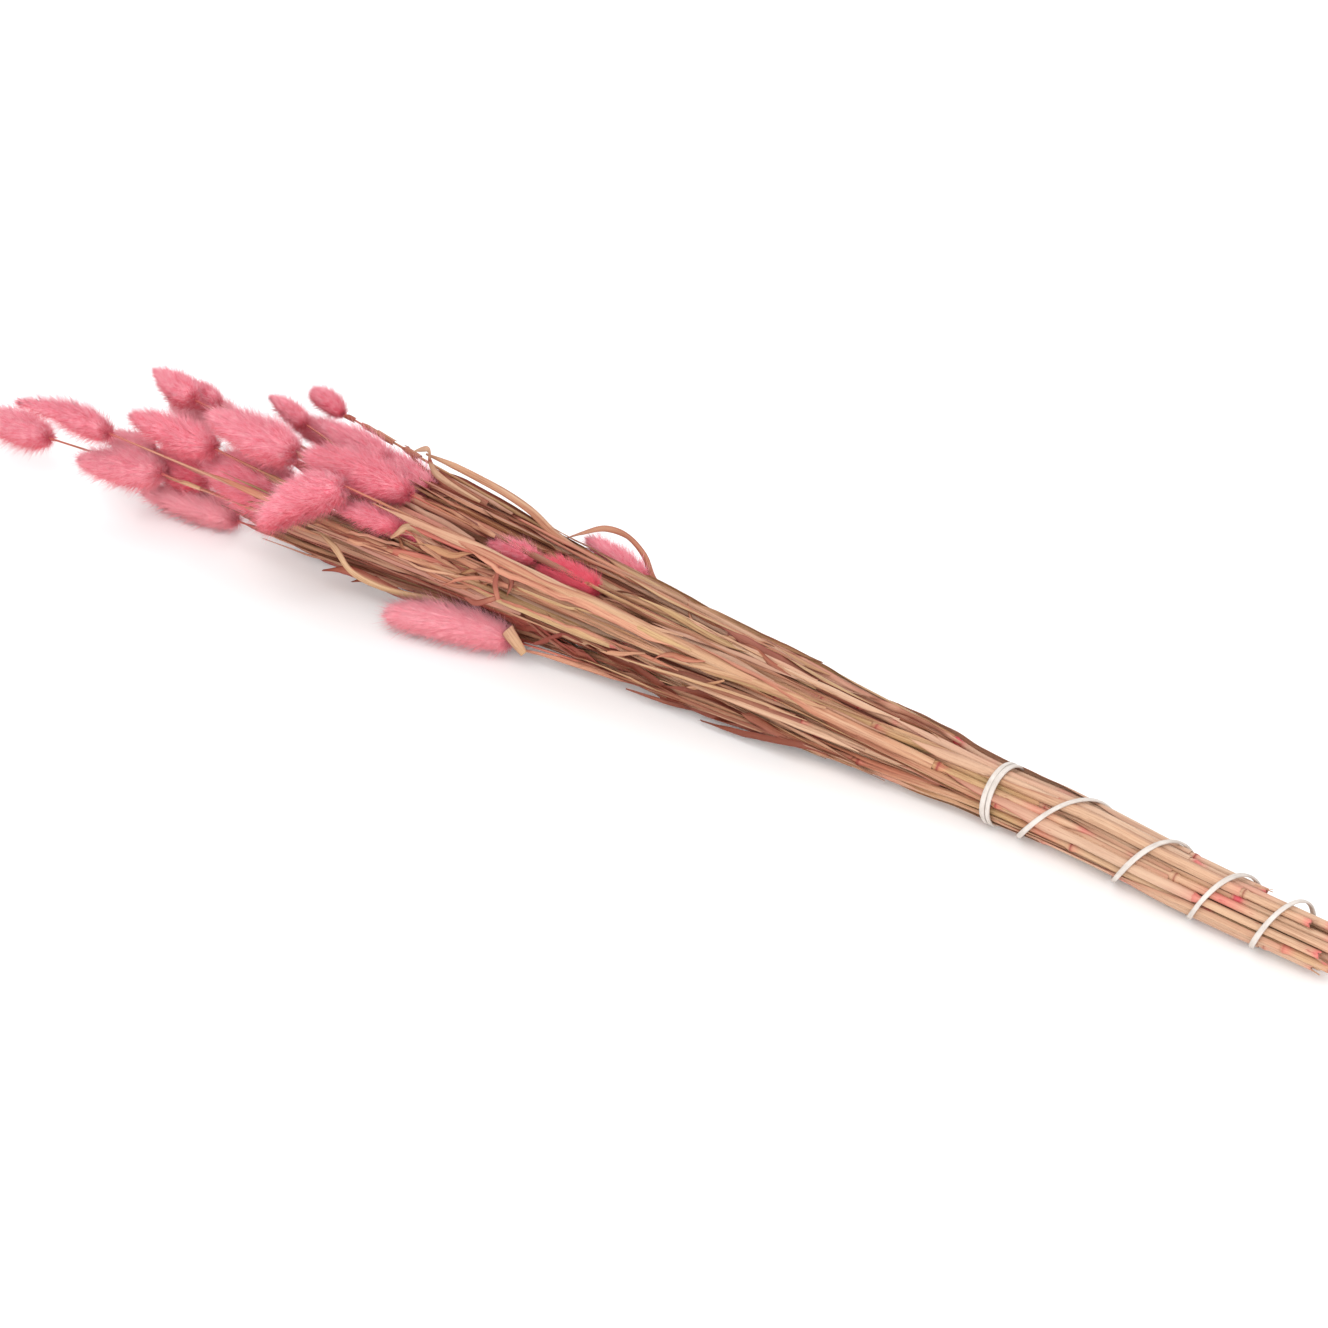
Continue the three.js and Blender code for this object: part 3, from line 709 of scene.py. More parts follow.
def add_head(number, material):
    head = Head(number)
    rng = rng_for(HEAD_HAIR, number)
    area = head.length * head.half / MIDDLING_HEAD
    grid, core_normals = core_grid(head)
    index = np.arange(grid[..., 0].size).reshape(grid.shape[:2])
    points, normals = [grid.reshape(-1, 3)], [core_normals.reshape(-1, 3)]
    total = index.size
    strand = [np.tile(CORE_STRAND, (total, 1))]
    # the coat's first number is how far it faces up, for the painted shade of the undersides
    coat = [np.stack([core_normals[..., 2].ravel(), np.zeros(total)], axis=-1)]
    faces = [tube_faces(index), index[:1, ::-1], index[-1:]]
    for per_area, least, stand, length, loose, width, kind in COATS:
        count = int(per_area * area + least)
        paths, surface, own, tuft, near_stem, at_base = hair_paths(
            head, rng, count, stand, length, loose)
        made, quads, tris, part, directions = kind(paths, surface, rng, width)
        points.append(made.reshape(-1, 3))
        normals.append(directions.reshape(-1, 3))
        faces += [quads + total, tris + total]
        size = len(part)
        # the roots' painted shade is weaker at the head's blunt end next to the stem
        from_root = 1 - np.outer(1 - 0.45 * at_base, 1 - part).ravel()
        strand.append(np.stack([from_root, np.repeat(own, size), np.repeat(tuft, size)], axis=-1))
        # how far the coat faces up and how near the pit at the stem is, for their painted shade
        coat.append(np.repeat(np.stack([surface[:, 2], near_stem], axis=-1), size, axis=0))
        total += count * size
    points = np.concatenate(points)
    points[:, 2] = np.maximum(points[:, 2], TABLE_GAP)
    # each head's own number: its dye, its painted shade and its painted light
    depth = np.full((total, 1), HEAD_DYE_AND_PAINTED_LIGHT.get(number, 0))
    layers = {"strand": np.concatenate(strand), "place": points / MM + rng.uniform(0, 900, 3),
              "coat": np.hstack([np.concatenate(coat), depth])}
    ob = mesh_object(f"fur_{number:02d}", points, faces, layers, material)
    ob.data.normals_split_custom_set_from_vertices(np.concatenate(normals).astype(np.float32))
    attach(ob, "root")
    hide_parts(f"head_{number:02d}")


# ---------- stalks

STALK_SIDES = 12
JOINT_RINGS = np.array([-3.5, -2, -1.2, -0.6, 0, 0.6, 1.2, 2, 3.5]) * MM     # round a joint
DYE_PATCHES = 4              # patches of dye on a stalk's bare end
WALL, HOLLOW = 0.32, 5       # a stalk's wall as a part of its radius, and the hollow's depth in mm
# A stalk's radius in mm by its distance from the head, until the CAD rod's own radius rules.
NECK = ((0, 0.42), (45, 0.55), (90, 0.75), (150, 1.1), (210, 1.7))
NECK_BENDS = 70              # mm over which a stalk bends to meet a head that was moved
FLAT_TURN = math.radians(139.5)  # most strips lie with their flat side to the front and back
BARE_NECK = 4                # mm at least without a leaf behind the head
# The leaves' tips lie along a line across the bunch: its x at y = 0 and its slope. A stalk's y
# is taken at the third number, its x in metres.
TIPS_X, TIPS_SLOPE, TIPS_AT = -158, 1.2, -0.12


def stalk_route(number):
    """(points along the stalk, its radius there in mm), from the head to the cut end."""
    rings = rings_of(f"stem_{number:02d}")
    centres = np.array([centre for centre, _ in rings])
    radii = np.array([np.linalg.norm(ring - centre, axis=1).max() for centre, ring in rings])
    route = smooth_route(centres, 3 * MM)
    far = lengths_along(route)
    route = route + head_shift(number) * smoothstep(far, NECK_BENDS, 0)[:, None]
    neck = np.interp(far, *zip(*NECK))
    return route, np.minimum(np.interp(route[:, 0], centres[:, 0], radii) / MM, neck)


def add_culm(growth, route, radii, rng, joints, tone):
    """The stalk itself: a tube with joint rings, and a hollow, ragged cut end."""
    x = np.sort(np.concatenate([route[:, 0]] + [joint + JOINT_RINGS for joint in joints]))
    x = x[np.concatenate([[True], np.diff(x) > 0.2 * MM])]
    x = np.concatenate([x[x < route[-1, 0] - 0.3 * MM], route[-1:, 0]])
    radii = np.interp(x, route[:, 0], radii)
    route = at(route, x)
    far = lengths_along(route)
    swell = np.zeros(len(route))
    brown = 0.55 * np.exp(-far / 110) + 0.6 * browned(x) * smoothstep(x / MM, 0, 100)
    dye = 0.3 * np.exp(-far / 14) + 0.15 * np.exp(-far / 90)
    for joint in joints:
        off = (x - joint) / MM
        swell += 0.34 * np.exp(-(off / 1.3) ** 2) - 0.12 * np.exp(-((off - 2) / 1.2) ** 2)
        brown += rng.uniform(0.35, 0.9) * np.exp(-(off / 0.6) ** 2)
        dye += 0.8 * rng.random() * np.exp(-((off - 1.2) / 2.4) ** 2)
    for _ in range(DYE_PATCHES):
        place, reach = rng.uniform(130, 300), rng.uniform(1, 8)
        dye += rng.uniform(0.1, 0.5) * np.exp(-((x / MM - place) / reach) ** 2)
    dye += rng.uniform(0.1, 0.7) * np.exp(-(far[-1] - far) / rng.uniform(1.0, 2.5))
    side, up = across(route)
    turn = np.linspace(0, 2 * math.pi, STALK_SIDES, endpoint=False)
    ring = side[:, None] * np.cos(turn)[:, None] + up[:, None] * np.sin(turn)[:, None]
    rows = route[:, None] + ring * ((radii + swell) * MM)[:, None, None]
    rows[-1, :, 0] += rng.uniform(-0.9, 0.5, STALK_SIDES) * MM
    inner = rows[-1] - (rows[-1] - rows[-1].mean(axis=0)) * WALL
    rows = np.concatenate([rows, inner[None], inner[None] - LENGTHWISE * (HOLLOW * MM)])
    far = np.concatenate([far, far[-1:], far[-1:] + HOLLOW])
    size = np.concatenate([radii, radii[-1:], radii[-1:]])[:, None]
    grain = grain_at(size * np.cos(turn), size * np.sin(turn), far, rng.uniform(0, 500, 2))
    look = np.zeros(rows.shape)
    look[:-2, :, 0] = (tone * paler(x))[:, None]
    look[..., 1] = np.clip(np.concatenate([dye, dye[-1:] * 0.6, dye[-1:] * 0.3]), 0, 0.85)[:, None]
    look[:-2, :, 2] = np.clip(brown, 0, 0.9)[:, None]
    # painted shade: the bottom of the hollow is dark brown
    look[-1, :, 2] = 0.9
    growth.tube(rows, grain, look)


LEAF_COLUMNS = 7             # points across a leaf
EDGE_BROWN = 0.4             # how much browner a leaf is along its edges


def add_leaf(growth, middle, facing, widths, curls, looks, rng, thick, ragged=0.0):
    """A thin strip whose middle line and normal are given, with its width and the radius that it
    curls to at each point, in mm. ragged is how far its free end is torn, in mm."""
    along = unit(np.gradient(middle, axis=0))
    facing = unit(facing - along * (facing * along).sum(-1, keepdims=True))
    beside = np.cross(along, facing)
    u = np.linspace(-1, 1, LEAF_COLUMNS)
    angle = np.clip(u * (widths / (2 * curls))[:, None], -3.3, 3.3)
    far = lengths_along(middle)
    size, pace = rng.uniform(0.05, 0.2), rng.uniform(0.12, 0.4)
    wave = size * np.sin(far[:, None] * pace + 2.5 * u + rng.uniform(0, 6)) * np.abs(u) ** 2

    def face(depth):
        reach = (curls[:, None] + depth) * np.cos(angle) - curls[:, None] + wave
        sweep = (curls[:, None] + depth) * np.sin(angle)
        return middle[:, None] + (
            facing[:, None] * reach[..., None] + beside[:, None] * sweep[..., None]) * MM

    rows = np.concatenate([face(thick), face(0.0)[:, ::-1]], axis=1)
    torn = rng.normal(0, ragged, LEAF_COLUMNS)
    torn = np.concatenate([torn, torn[::-1]]) * MM
    rows[-1] += along[-1] * torn[:, None]
    rows[-2] += along[-2] * torn[:, None] * 0.4
    columns = np.concatenate([u, u[::-1]])
    grain = grain_at((widths / 2)[:, None] * columns, 0.0, far, rng.uniform(0, 500, 2))
    look = np.zeros(rows.shape) + looks[:, None]
    look[..., 2] = np.clip(look[..., 2] + EDGE_BROWN * np.abs(columns) ** 6, 0, 0.95)
    rows[..., 2] = np.maximum(rows[..., 2], TABLE_GAP)
    growth.tube(rows, grain, look, flat=True)


def paler(x):
    """How much of a piece's tone is left at x: the stalks get paler towards the cut ends."""
    return 1 - 0.6 * smoothstep(x / MM, 130, 230)


TIED_BROWN = 0.15            # how much browner the leaves are next to the tie


def browned(x):
    """How brown the leaves are at x: most among the heads and next to the tie, and less
    between the two."""
    x = x / MM
    tied = smoothstep(x, 230, 170) * smoothstep(x, 40, 100)
    fresh = 1 - 0.4 * np.exp(-((x - 30) / 60) ** 2)
    return 0.44 * fresh * smoothstep(x, 200, -70) + TIED_BROWN * tied


SHORTEST_SHEATH = 6          # points of the stalk's route


def add_sheath(growth, route, radii, joint, length, blade, rng):
    """A leaf: its sheath is rolled round the stalk from the joint towards the head, and its
    blade lies along the stalk past that."""
    end = max(joint - (length + blade) * MM, leaves_begin(route) * MM)
    inside = (route[:, 0] <= joint) & (route[:, 0] >= end)
    if inside.sum() < SHORTEST_SHEATH:
        return
    route, radii = route[inside][::-1], radii[inside][::-1]
    x = route[:, 0]
    far = (joint - x) / MM
    open_part = smoothstep(far, rng.uniform(0.3, 0.75) * length, length + 6)
    loose = smoothstep(x / MM, 130, 20)
    room = radii + 0.22 + (0.25 + rng.uniform(0.1, 0.9) * loose) * smoothstep(far, 0, 14)
    full = rng.uniform(2.6, 5.0)
    wraps = rng.uniform(4.6, 6.1)
    widths = (1 - open_part) * room * wraps + open_part * full
    if blade > 2:
        widths *= 1 - 0.8 * smoothstep(far, length + 0.4 * blade, length + blade)
    widths *= 1 - 0.7 * smoothstep(far, far[-1] - rng.uniform(8, 25), far[-1])
    curls = (1 - open_part) * (room + 0.12) + open_part * rng.uniform(1.4, 4.5)
    lift = open_part * rng.uniform(0.1, 1.2)
    turn = rng.uniform(0, 2 * math.pi) + drift(rng, len(far), 0.06)
    turn = turn + open_part * rng.uniform(-0.9, 0.9) * (far - length) / 60
    facing = turned(route, turn)
    tone = rng.random() * paler(x)
    dull = rng.choice([0.0, 0.15, 0.4, 0.6], p=[0.4, 0.25, 0.22, 0.13]) * paler(x) ** 2
    dye = 0.3 * rng.random() * np.exp(-far / 6) + 0.12 * open_part * rng.random()
    dull = np.clip(dull + 0.1 * open_part + browned(x) * rng.random(), 0, 0.85)
    looks = np.stack([tone, dye, dull], axis=-1)
    middle = route + facing * ((room + lift) * MM)[:, None]
    add_leaf(growth, middle, facing, widths, curls, looks, rng, thick=0.16, ragged=1.5)


def add_neck_sheath(growth, route, radii, start, length, room, tone, dull, rng):
    """A short torn sheath round a bare neck, from start towards the head."""
    x = np.arange(start, start - length, -1.2) * MM
    middle = at(route, x)
    room = np.interp(x, route[:, 0], radii) + room * np.linspace(0.6, 1.0, len(x))
    turn = FLAT_TURN + rng.normal(0, 0.4) + drift(rng, len(x), 0.15)
    facing = turned(middle[::-1], turn[::-1])[::-1]
    narrowing = 1 - 0.5 * smoothstep(np.arange(len(x)), 0.5 * len(x), len(x))
    widths = room * rng.uniform(3.6, 4.6) * narrowing
    looks = np.tile([tone, 0.15 * rng.random(), dull], (len(x), 1))
    middle = middle + facing * (room * MM)[:, None]
    add_leaf(growth, middle, facing, widths, room + 0.1, looks, rng, thick=0.16, ragged=1.0)


def leaf_looks(rng, middle, dull=0.0):
    """The look of a loose leaf: one tone, a little dye and more brown among the others."""
    looks = np.zeros((len(middle), 3))
    looks[:, 0] = rng.random()
    x = middle[:, 0] / MM
    looks[:, 1] = rng.choice([0.0, 0.0, 0.06, 0.15]) * (1 - 0.7 * smoothstep(x, 20, 90))
    looks[:, 1] += 0.12 * rng.random() * smoothstep(x, 20, -80)
    looks[:, 2] = np.clip(dull + browned(middle[:, 0]) * rng.uniform(0.2, 1.3), 0, 0.9)
    return looks


def tapers(rng, far, width):
    """Widths of a loose strip: narrow at its free end, which comes last."""
    length = far[-1]
    widths = width * (0.25 + 0.75 * smoothstep(far, 0, 18))
    end = rng.uniform(0.5, 0.85)
    return widths * (1 - rng.uniform(0.6, 0.93) * smoothstep(far, end * length, length))


def leaves_begin(route):
    """The x, in mm, where the leaves on a stalk end towards its head."""
    line = TIPS_X + TIPS_SLOPE * np.interp(TIPS_AT, route[:, 0], route[:, 1]) / MM
    return max(route[0, 0] / MM + BARE_NECK, line)


STRIP_STEP = 3.0             # mm between the points of a loose strip
SHORT_STRIP = 35             # mm that a strip among the stalks has at least
TIE_X = 170                  # mm; such strips start in front of this
NEAR_STALKS = 5              # a strip lies towards one of so many stalks
FILLER_LIFT, DRAPE_LIFT = 0.5 * MM, 0.4 * MM     # the least height of a strip's middle line


def add_filler(growth, number, stalks, rng, limit=None):
    """A narrow dry strip that lies among the stalks, between this one and one beside it. With a
    limit, it reaches to where the leaves end, but not past the limit."""
    route, radii = stalks[number - 1]
    low = leaves_begin(route)
    if limit is not None:
        end = max(low + rng.uniform(-22, 12), route[0, 0] / MM + 1, limit + rng.uniform(0, 12))
        start = end + rng.uniform(40, 150)
    else:
        start = low + SHORT_STRIP + (TIE_X - low - SHORT_STRIP) * rng.uniform(0, 1) ** 0.8
        end = max(start - rng.uniform(50, 190), low + rng.uniform(-8, 30))
    x = np.arange(start, end, -STRIP_STEP) * MM
    count = len(x)
    own = at(route, x)
    beside = [other for other, _ in stalks if other is not route and other[0, 0] < x[-1] + 0.01]
    beside.sort(key=lambda other: np.linalg.norm(at(other, x[-1:]) - own[-1:]))
    other = at(beside[rng.integers(min(NEAR_STALKS, len(beside)))], x)
    part = np.clip(rng.uniform(-0.1, 1.1) + drift(rng, count, 0.02), -0.1, 1.1)[:, None]
    middle = own * (1 - part) + other * part
    turn = rng.uniform(0, 2 * math.pi) + drift(rng, count, 0.1)
    away = np.interp(x, route[:, 0], radii) + rng.uniform(0.2, 1.6) + drift(rng, count, 0.1)
    middle = middle + turned_flat(turn) * (np.maximum(away, 0.3) * MM)[:, None]
    middle[:, 2] = np.maximum(middle[:, 2], FILLER_LIFT)
    if hides_head(middle):
        return
    facing = turned_flat(FLAT_TURN + rng.normal(0, 0.6) + drift(rng, count, 0.12))
    width = rng.choice([0.9, 1.9, 2.9, 4.2], p=[0.15, 0.32, 0.33, 0.2])
    far = lengths_along(middle)
    curls = np.full(count, rng.uniform(0.8, 3.4))
    add_leaf(growth, middle, facing, tapers(rng, far, width), curls, leaf_looks(rng, middle), rng,
             thick=0.14, ragged=1.5)


OPEN_HEADS = (16, 17, 23, 24)    # no loose strip lies in front of these heads


def hides_head(line):
    """Whether a strip along this line would lie in front of one of the open heads."""
    beside = np.cross(FRONT, LENGTHWISE)
    for base, tip, half in open_heads:
        part = (line[:, 0] - base[0]) / (tip[0] - base[0])
        off = line - base - np.clip(part, 0, 1)[:, None] * (tip - base)
        over = (part > -0.1) & (part < 1.2) & (off @ FRONT > 0)
        if (over & (np.abs(off @ beside) < half)).any():
            return True
    return False


LEAF_COAT = 2.2              # mm that the leaves round a stalk add to its radius
DRAPE_SINK = 1.6             # mm that a leaf on the outside sinks into that


def bundle_middle(stalks, x):
    """The mean place of the stalks that are there, for each x."""
    sums, counts = np.zeros((len(x), 3)), np.zeros(len(x))
    for route, _ in stalks:
        here = (x >= route[0, 0]) & (x <= route[-1, 0])
        sums[here] += columns_at(x[here], route[:, 0], route)
        counts += here
    return sums / np.maximum(counts, 1)[:, None]


def bundle_reach(stalks, x, middle, out):
    """How far the bundle's surface is from its middle, towards out, for each x."""
    beside = np.cross(out, LENGTHWISE)
    reach = np.full(len(x), 2 * MM)
    for route, radii in stalks:
        here = (x >= route[0, 0]) & (x <= route[-1, 0])
        place = columns_at(x, route[:, 0], route) - middle
        radius = (np.interp(x, route[:, 0], radii) + LEAF_COAT) * MM
        off = (place * beside).sum(-1)
        deep = np.sqrt(np.maximum(radius**2 - off**2, 0)) - DRAPE_SINK * MM
        level = np.where(here & (np.abs(off) < radius), (place * out).sum(-1) + deep, 0)
        reach = np.maximum(reach, level)
    return reach


def add_drape(growth, stalks, rng, start, length, turn, width, swing, lift, dull=0.0, wild=0.0):
    """A dry leaf that lies on the outside of the bundle and crosses its stalks a little.

    It runs from start towards the heads, in mm. turn is where round the bundle it lies, 0 at
    +Y and a quarter turn at the top, and swing how far round it moves on its way. wild is how
    much it curls and twists."""
    x = np.arange(start, start - length, STRIP_STEP * (0.5 * wild - 1)) * MM
    count = len(x)
    middle = bundle_middle(stalks, x)
    middle[:, 0] = x
    part = np.linspace(0, 1, count)
    angle = turn + swing * part + drift(rng, count, 0.03 + 0.05 * wild)
    out = turned_flat(angle)
    reach = averaged(bundle_reach(stalks, x, middle, out), 7)
    away = reach + (0.4 + lift * smoothstep(part, 0.1, 0.9)) * MM
    away = away + wild * np.maximum(drift(rng, count, 0.35), -0.4) * MM
    line = middle + out * away[:, None]
    line[:, 2] = np.maximum(line[:, 2], DRAPE_LIFT)
    if hides_head(line):
        return
    far = lengths_along(line)
    widths = tapers(rng, far, width)
    curls = np.full(count, rng.uniform(1.2, 4.0) * (1 - 0.3 * wild))
    dull = dull + 0.5 * smoothstep(np.cos(turn - LOWER_FRONT_EDGE), 0.8, 1) * (start < 110)
    facing = spun(out, drift(rng, count, 0.12 + 0.3 * wild))
    looks = leaf_looks(rng, line, dull)
    if wild:
        looks[:, 0] = rng.uniform(0.5, 1.0)
        looks[:, 1] = rng.uniform(0, 0.12)
    add_leaf(growth, line, facing, widths, curls, looks, rng, thick=0.15, ragged=2.0)


FILLERS = 9                  # strips among the stalks that grow from each of them
# How many more grow from a stalk and reach the leaves' forward end, and the x in mm that they
# don't pass.
FORWARD_FILLERS = {
    12: (46, -190), 1: (9, -190), 3: (9, -190), 4: (7, -190), 6: (6, -175), 2: (10, -142),
    5: (7, -136), 10: (8, -143), 11: (5, -150), 20: (6, -80), 22: (8, -30),
    7: (5, -152), 8: (5, -152), 9: (4, -148), 18: (4, -104)}
SCRAPLESS = (17,)            # every other stalk has one short curled scrap on the outside
DRAPES = 5                   # leaves over the bundle's outside that grow from each stalk
DRAPE_STARTS, DRAPE_END = (-70, 143), -155       # mm
# Reddish scraps that lie open to the front, by the stalk that they grow from: start and length
# in mm, where round the bundle they lie and their width.
FRONT_SCRAPS = {
    19: ((-38, 26, 2.75, 3.4),), 20: ((-52, 22, 2.95, 3.2),), 10: ((-44, 26, 2.4, 3.6),),
    2: ((66, 22, 2.4, 3.6), (-66, 24, 2.9, 3.0)),
    18: ((-104, 20, 0.45, 2.8), (-110, 18, 0.65, 2.4), (-116, 16, 0.35, 2.6))}
# Short sheaths on the bare necks of stalks: where they begin and how long they are, in mm, how
# much wider than the stalk, and their tone and dullness.
NECK_SHEATHS = {
    18: ((-159.5, 5, 0.7, 1.0, 0.55), (-146, 9, 0.6, 0.9, 0.5), (-136, 12, 0.9, 0.8, 0.4),
         (-121, 10, 0.8, 0.9, 0.5)),
    6: ((-178, 16, 0.7, 0.05, 0.0),), 3: ((-196, 12, 0.3, 0.4, 0.1),),
    14: ((-140, 10, 0.5, 0.8, 0.4),), 17: ((-92, 9, 0.6, 0.9, 0.5),)}
# Brown leaves that hang along the lower front edge, by the stalk that they grow from: start and
# length in mm, where round the bundle they lie, their width, and how far round they swing.
UNDER_LEAVES = {
    1: (118, 60, 3.75, 2.8, 0.15), 3: (104, 55, 3.95, 2.2, -0.1), 6: (90, 52, 3.65, 2.6, 0.3),
    11: (78, 48, 3.9, 3.0, 0.1), 12: (66, 50, 4.05, 2.0, -0.2), 19: (100, 70, 3.85, 1.8, 0.1),
    20: (20, 60, 3.85, 2.4, 0.1), 22: (52, 55, 3.8, 2.6, 0.1)}
# Leaves that close the bundle's upper back edge in front of the tie, in the same terms. They
# are painted paler than the others, as painted light on that edge, which faces away and lies in
# shade.
BACK_LEAVES = {
    14: (143, 80, 1.15, 4.6, 0.1), 15: (140, 80, 1.5, 3.8, 0.15), 18: (143, 70, 0.9, 4.2, -0.1)}
# Torn strips that are placed one by one: the stalk that they hang on, their tone, dye and dullness,
# and their middle line from the fast end to the free one, as (x, y, z, width) in mm.
HAND_STRIPS = [
    (18, 0.9, 0.1, 0.45, [(-97, 28, 38.7, 2.0), (-105.6, 28, 43.4, 2.2), (-111, 27.5, 46, 1.6),
        (-116, 27, 49.6, 0.5)]),
    (18, 1.0, 0.15, 0.6, [(-95, 29, 37.7, 2.6), (-104.5, 29, 41, 2.6), (-112, 28, 44.1, 1.9),
        (-118, 27, 45.2, 0.6)]),
    (18, 1.0, 0.1, 0.4, [(-73, 30, 35.7, 3.0), (-85, 29, 38.7, 5.0), (-95, 29, 40.7, 5.4),
        (-102, 29, 43.2, 4.0), (-107.5, 28, 45, 1.2)]),
    (18, 0.85, 0.1, 0.25, [(-77, 31, 38.2, 3.0), (-87, 30, 40.2, 3.6), (-98, 30, 43.2, 2.4),
        (-106, 29, 47.2, 1.0)]),
    (20, 0.8, 0.1, 0.5, [(-26.4, -20, 36.5, 2.0), (-29.6, -18.2, 41.6, 2.8),
        (-30.2, -15.4, 45.6, 1.6), (-31.8, -13.8, 49.2, 2.4), (-32.2, -11.2, 52.5, 0.6)]),
    (20, 0.75, 0.1, 0.45, [(-33, -15.5, 42, 1.2), (-30.8, -13.2, 45, 2.2),
        (-28.4, -11.6, 44.6, 2.4), (-26, -12, 41.4, 2.0), (-25.6, -14.8, 37, 0.8)]),
    (20, 0.8, 0.08, 0.55, [(-28, -17.5, 36, 1.6), (-32.6, -21, 34, 2.6), (-36, -23.6, 33.2, 2.4),
        (-40, -24.6, 34.6, 0.7)]),
    (20, 0.7, 0.0, 0.05, [(-84.5, -19.5, 43, 1.2), (-80.7, -15, 46.9, 3.8),
        (-76.2, -12.4, 46.4, 4.2), (-71, -10.6, 43.4, 3.2), (-62, -9, 41, 1.6)]),
    (12, 0.9, 0.15, 0.5, [(-112, -3, 5.5, 4.0), (-130, -3.5, 5.5, 6.0), (-150, -4.5, 5.5, 6.0),
        (-168, -5.5, 5.5, 4.5), (-184, -6, 5.5, 1.0)]),
    (12, 0.8, 0.25, 0.35, [(-110, 2, 8.5, 4.0), (-135, 1, 8.5, 6.0), (-158, -1, 8.5, 6.0),
        (-180, -4, 8.5, 3.0), (-196, -6, 9, 1.0)]),
    (12, 1.0, 0.05, 0.6, [(-98, -3, 7, 2.6), (-107, -5, 7, 3.0), (-112, -9, 7, 2.0),
        (-114.5, -13, 7, 0.4)]),
    (17, 0.85, 0.05, 0.1, [(-44, -1, 50.5, 1.6), (-50, -1, 51, 3.0), (-59.5, 1.1, 50.5, 3.4),
        (-67.3, 0.8, 51.4, 3.0), (-75.2, 0.4, 52, 2.4), (-83, 0, 52.4, 0.8)]),
    (17, 0.2, 0.08, 0.15, [(-60, 3.6, 40, 2.0), (-68, 3.3, 41.5, 3.4), (-76, 2.9, 43, 3.8),
        (-84, 2.6, 44, 3.2), (-92, 2.1, 45.2, 2.4), (-98, 1.5, 46, 0.6)]),
    (9, 1.0, 0.5, 0.4, [(-118, 24, 18, 3.0), (-150, 24, 20, 5.0), (-170, 24, 22, 5.6),
        (-184, 24, 23.5, 3.0)]),
    (25, 0.3, 0.1, 0.2, [(104, 31.5, 24, 2.4), (118, 31.2, 23, 3.6), (138, 31, 21.5, 3.6),
        (155, 30.7, 20.2, 3.2), (170, 30.5, 19.2, 2.0)]),
    (25, 0.15, 0.12, 0.0, [(163, 30, 22.6, 1.0), (148, 31, 23.9, 2.4), (133.8, 31.3, 23.8, 3.0),
        (115.2, 31.2, 24.2, 3.2), (94, 33.3, 25.2, 3.2), (73.6, 34.5, 26, 2.6),
        (58, 34.6, 28, 0.8)])]


def add_hand_strip(growth, tone, dye, dull, points, rng):
    """A torn strip along its own points, with its flat side to the front."""
    fine = smooth_route(np.array(points, float), 0.8)
    widths = fine[:, 3]
    spin = drift(rng, len(fine), 0.12)
    curls = np.full(len(fine), max(widths) * rng.uniform(0.4, 0.7))
    looks = np.tile([tone, dye, dull], (len(fine), 1))
    # painted shade: darker and browner where the strip turns
    looks[:, 2] += 0.3 * np.abs(np.sin(3 * spin + rng.uniform(0, 3)))
    add_leaf(growth, fine[:, :3] * MM, spun(FRONT, spin), widths, curls, looks, rng,
             thick=0.16, ragged=0.4)


def add_splinters(growth, route, radii, rng):
    """Thin torn strips that stand out round the cut end."""
    for _ in range(rng.integers(1, 4)):
        far = np.arange(0, rng.uniform(5, 9), 1.0)
        turn = rng.uniform(0, 2 * math.pi) + 0 * far
        out = radii[-1] * 0.9 + rng.uniform(0.0, 0.22) * np.maximum(far - 3.5, 0) ** 1.2
        middle = route[-1] + np.stack([far - 5, 0 * far, 0 * far], axis=-1) * MM
        middle = middle + turned_flat(turn) * (out * MM)[:, None]
        widths = rng.uniform(0.5, 1.0) * (1 - 0.6 * far / far[-1])
        looks = np.tile([rng.uniform(0, 0.4), 0.0, 0.0], (len(far), 1))
        looks[:, 1] = rng.choice([0, 0, 0.6]) * smoothstep(far, far[-1] - 3, far[-1])
        add_leaf(growth, middle, turned_flat(turn), widths, 0 * far + 1.0, looks, rng,
                 thick=0.12, ragged=0.4)


# How far the last joint is from the cut end and from one joint to the next, and the length
# behind the head that has none, in mm.
LAST_JOINT, JOINT_GAPS, JOINTLESS = (15, 90), (65, 110), 90


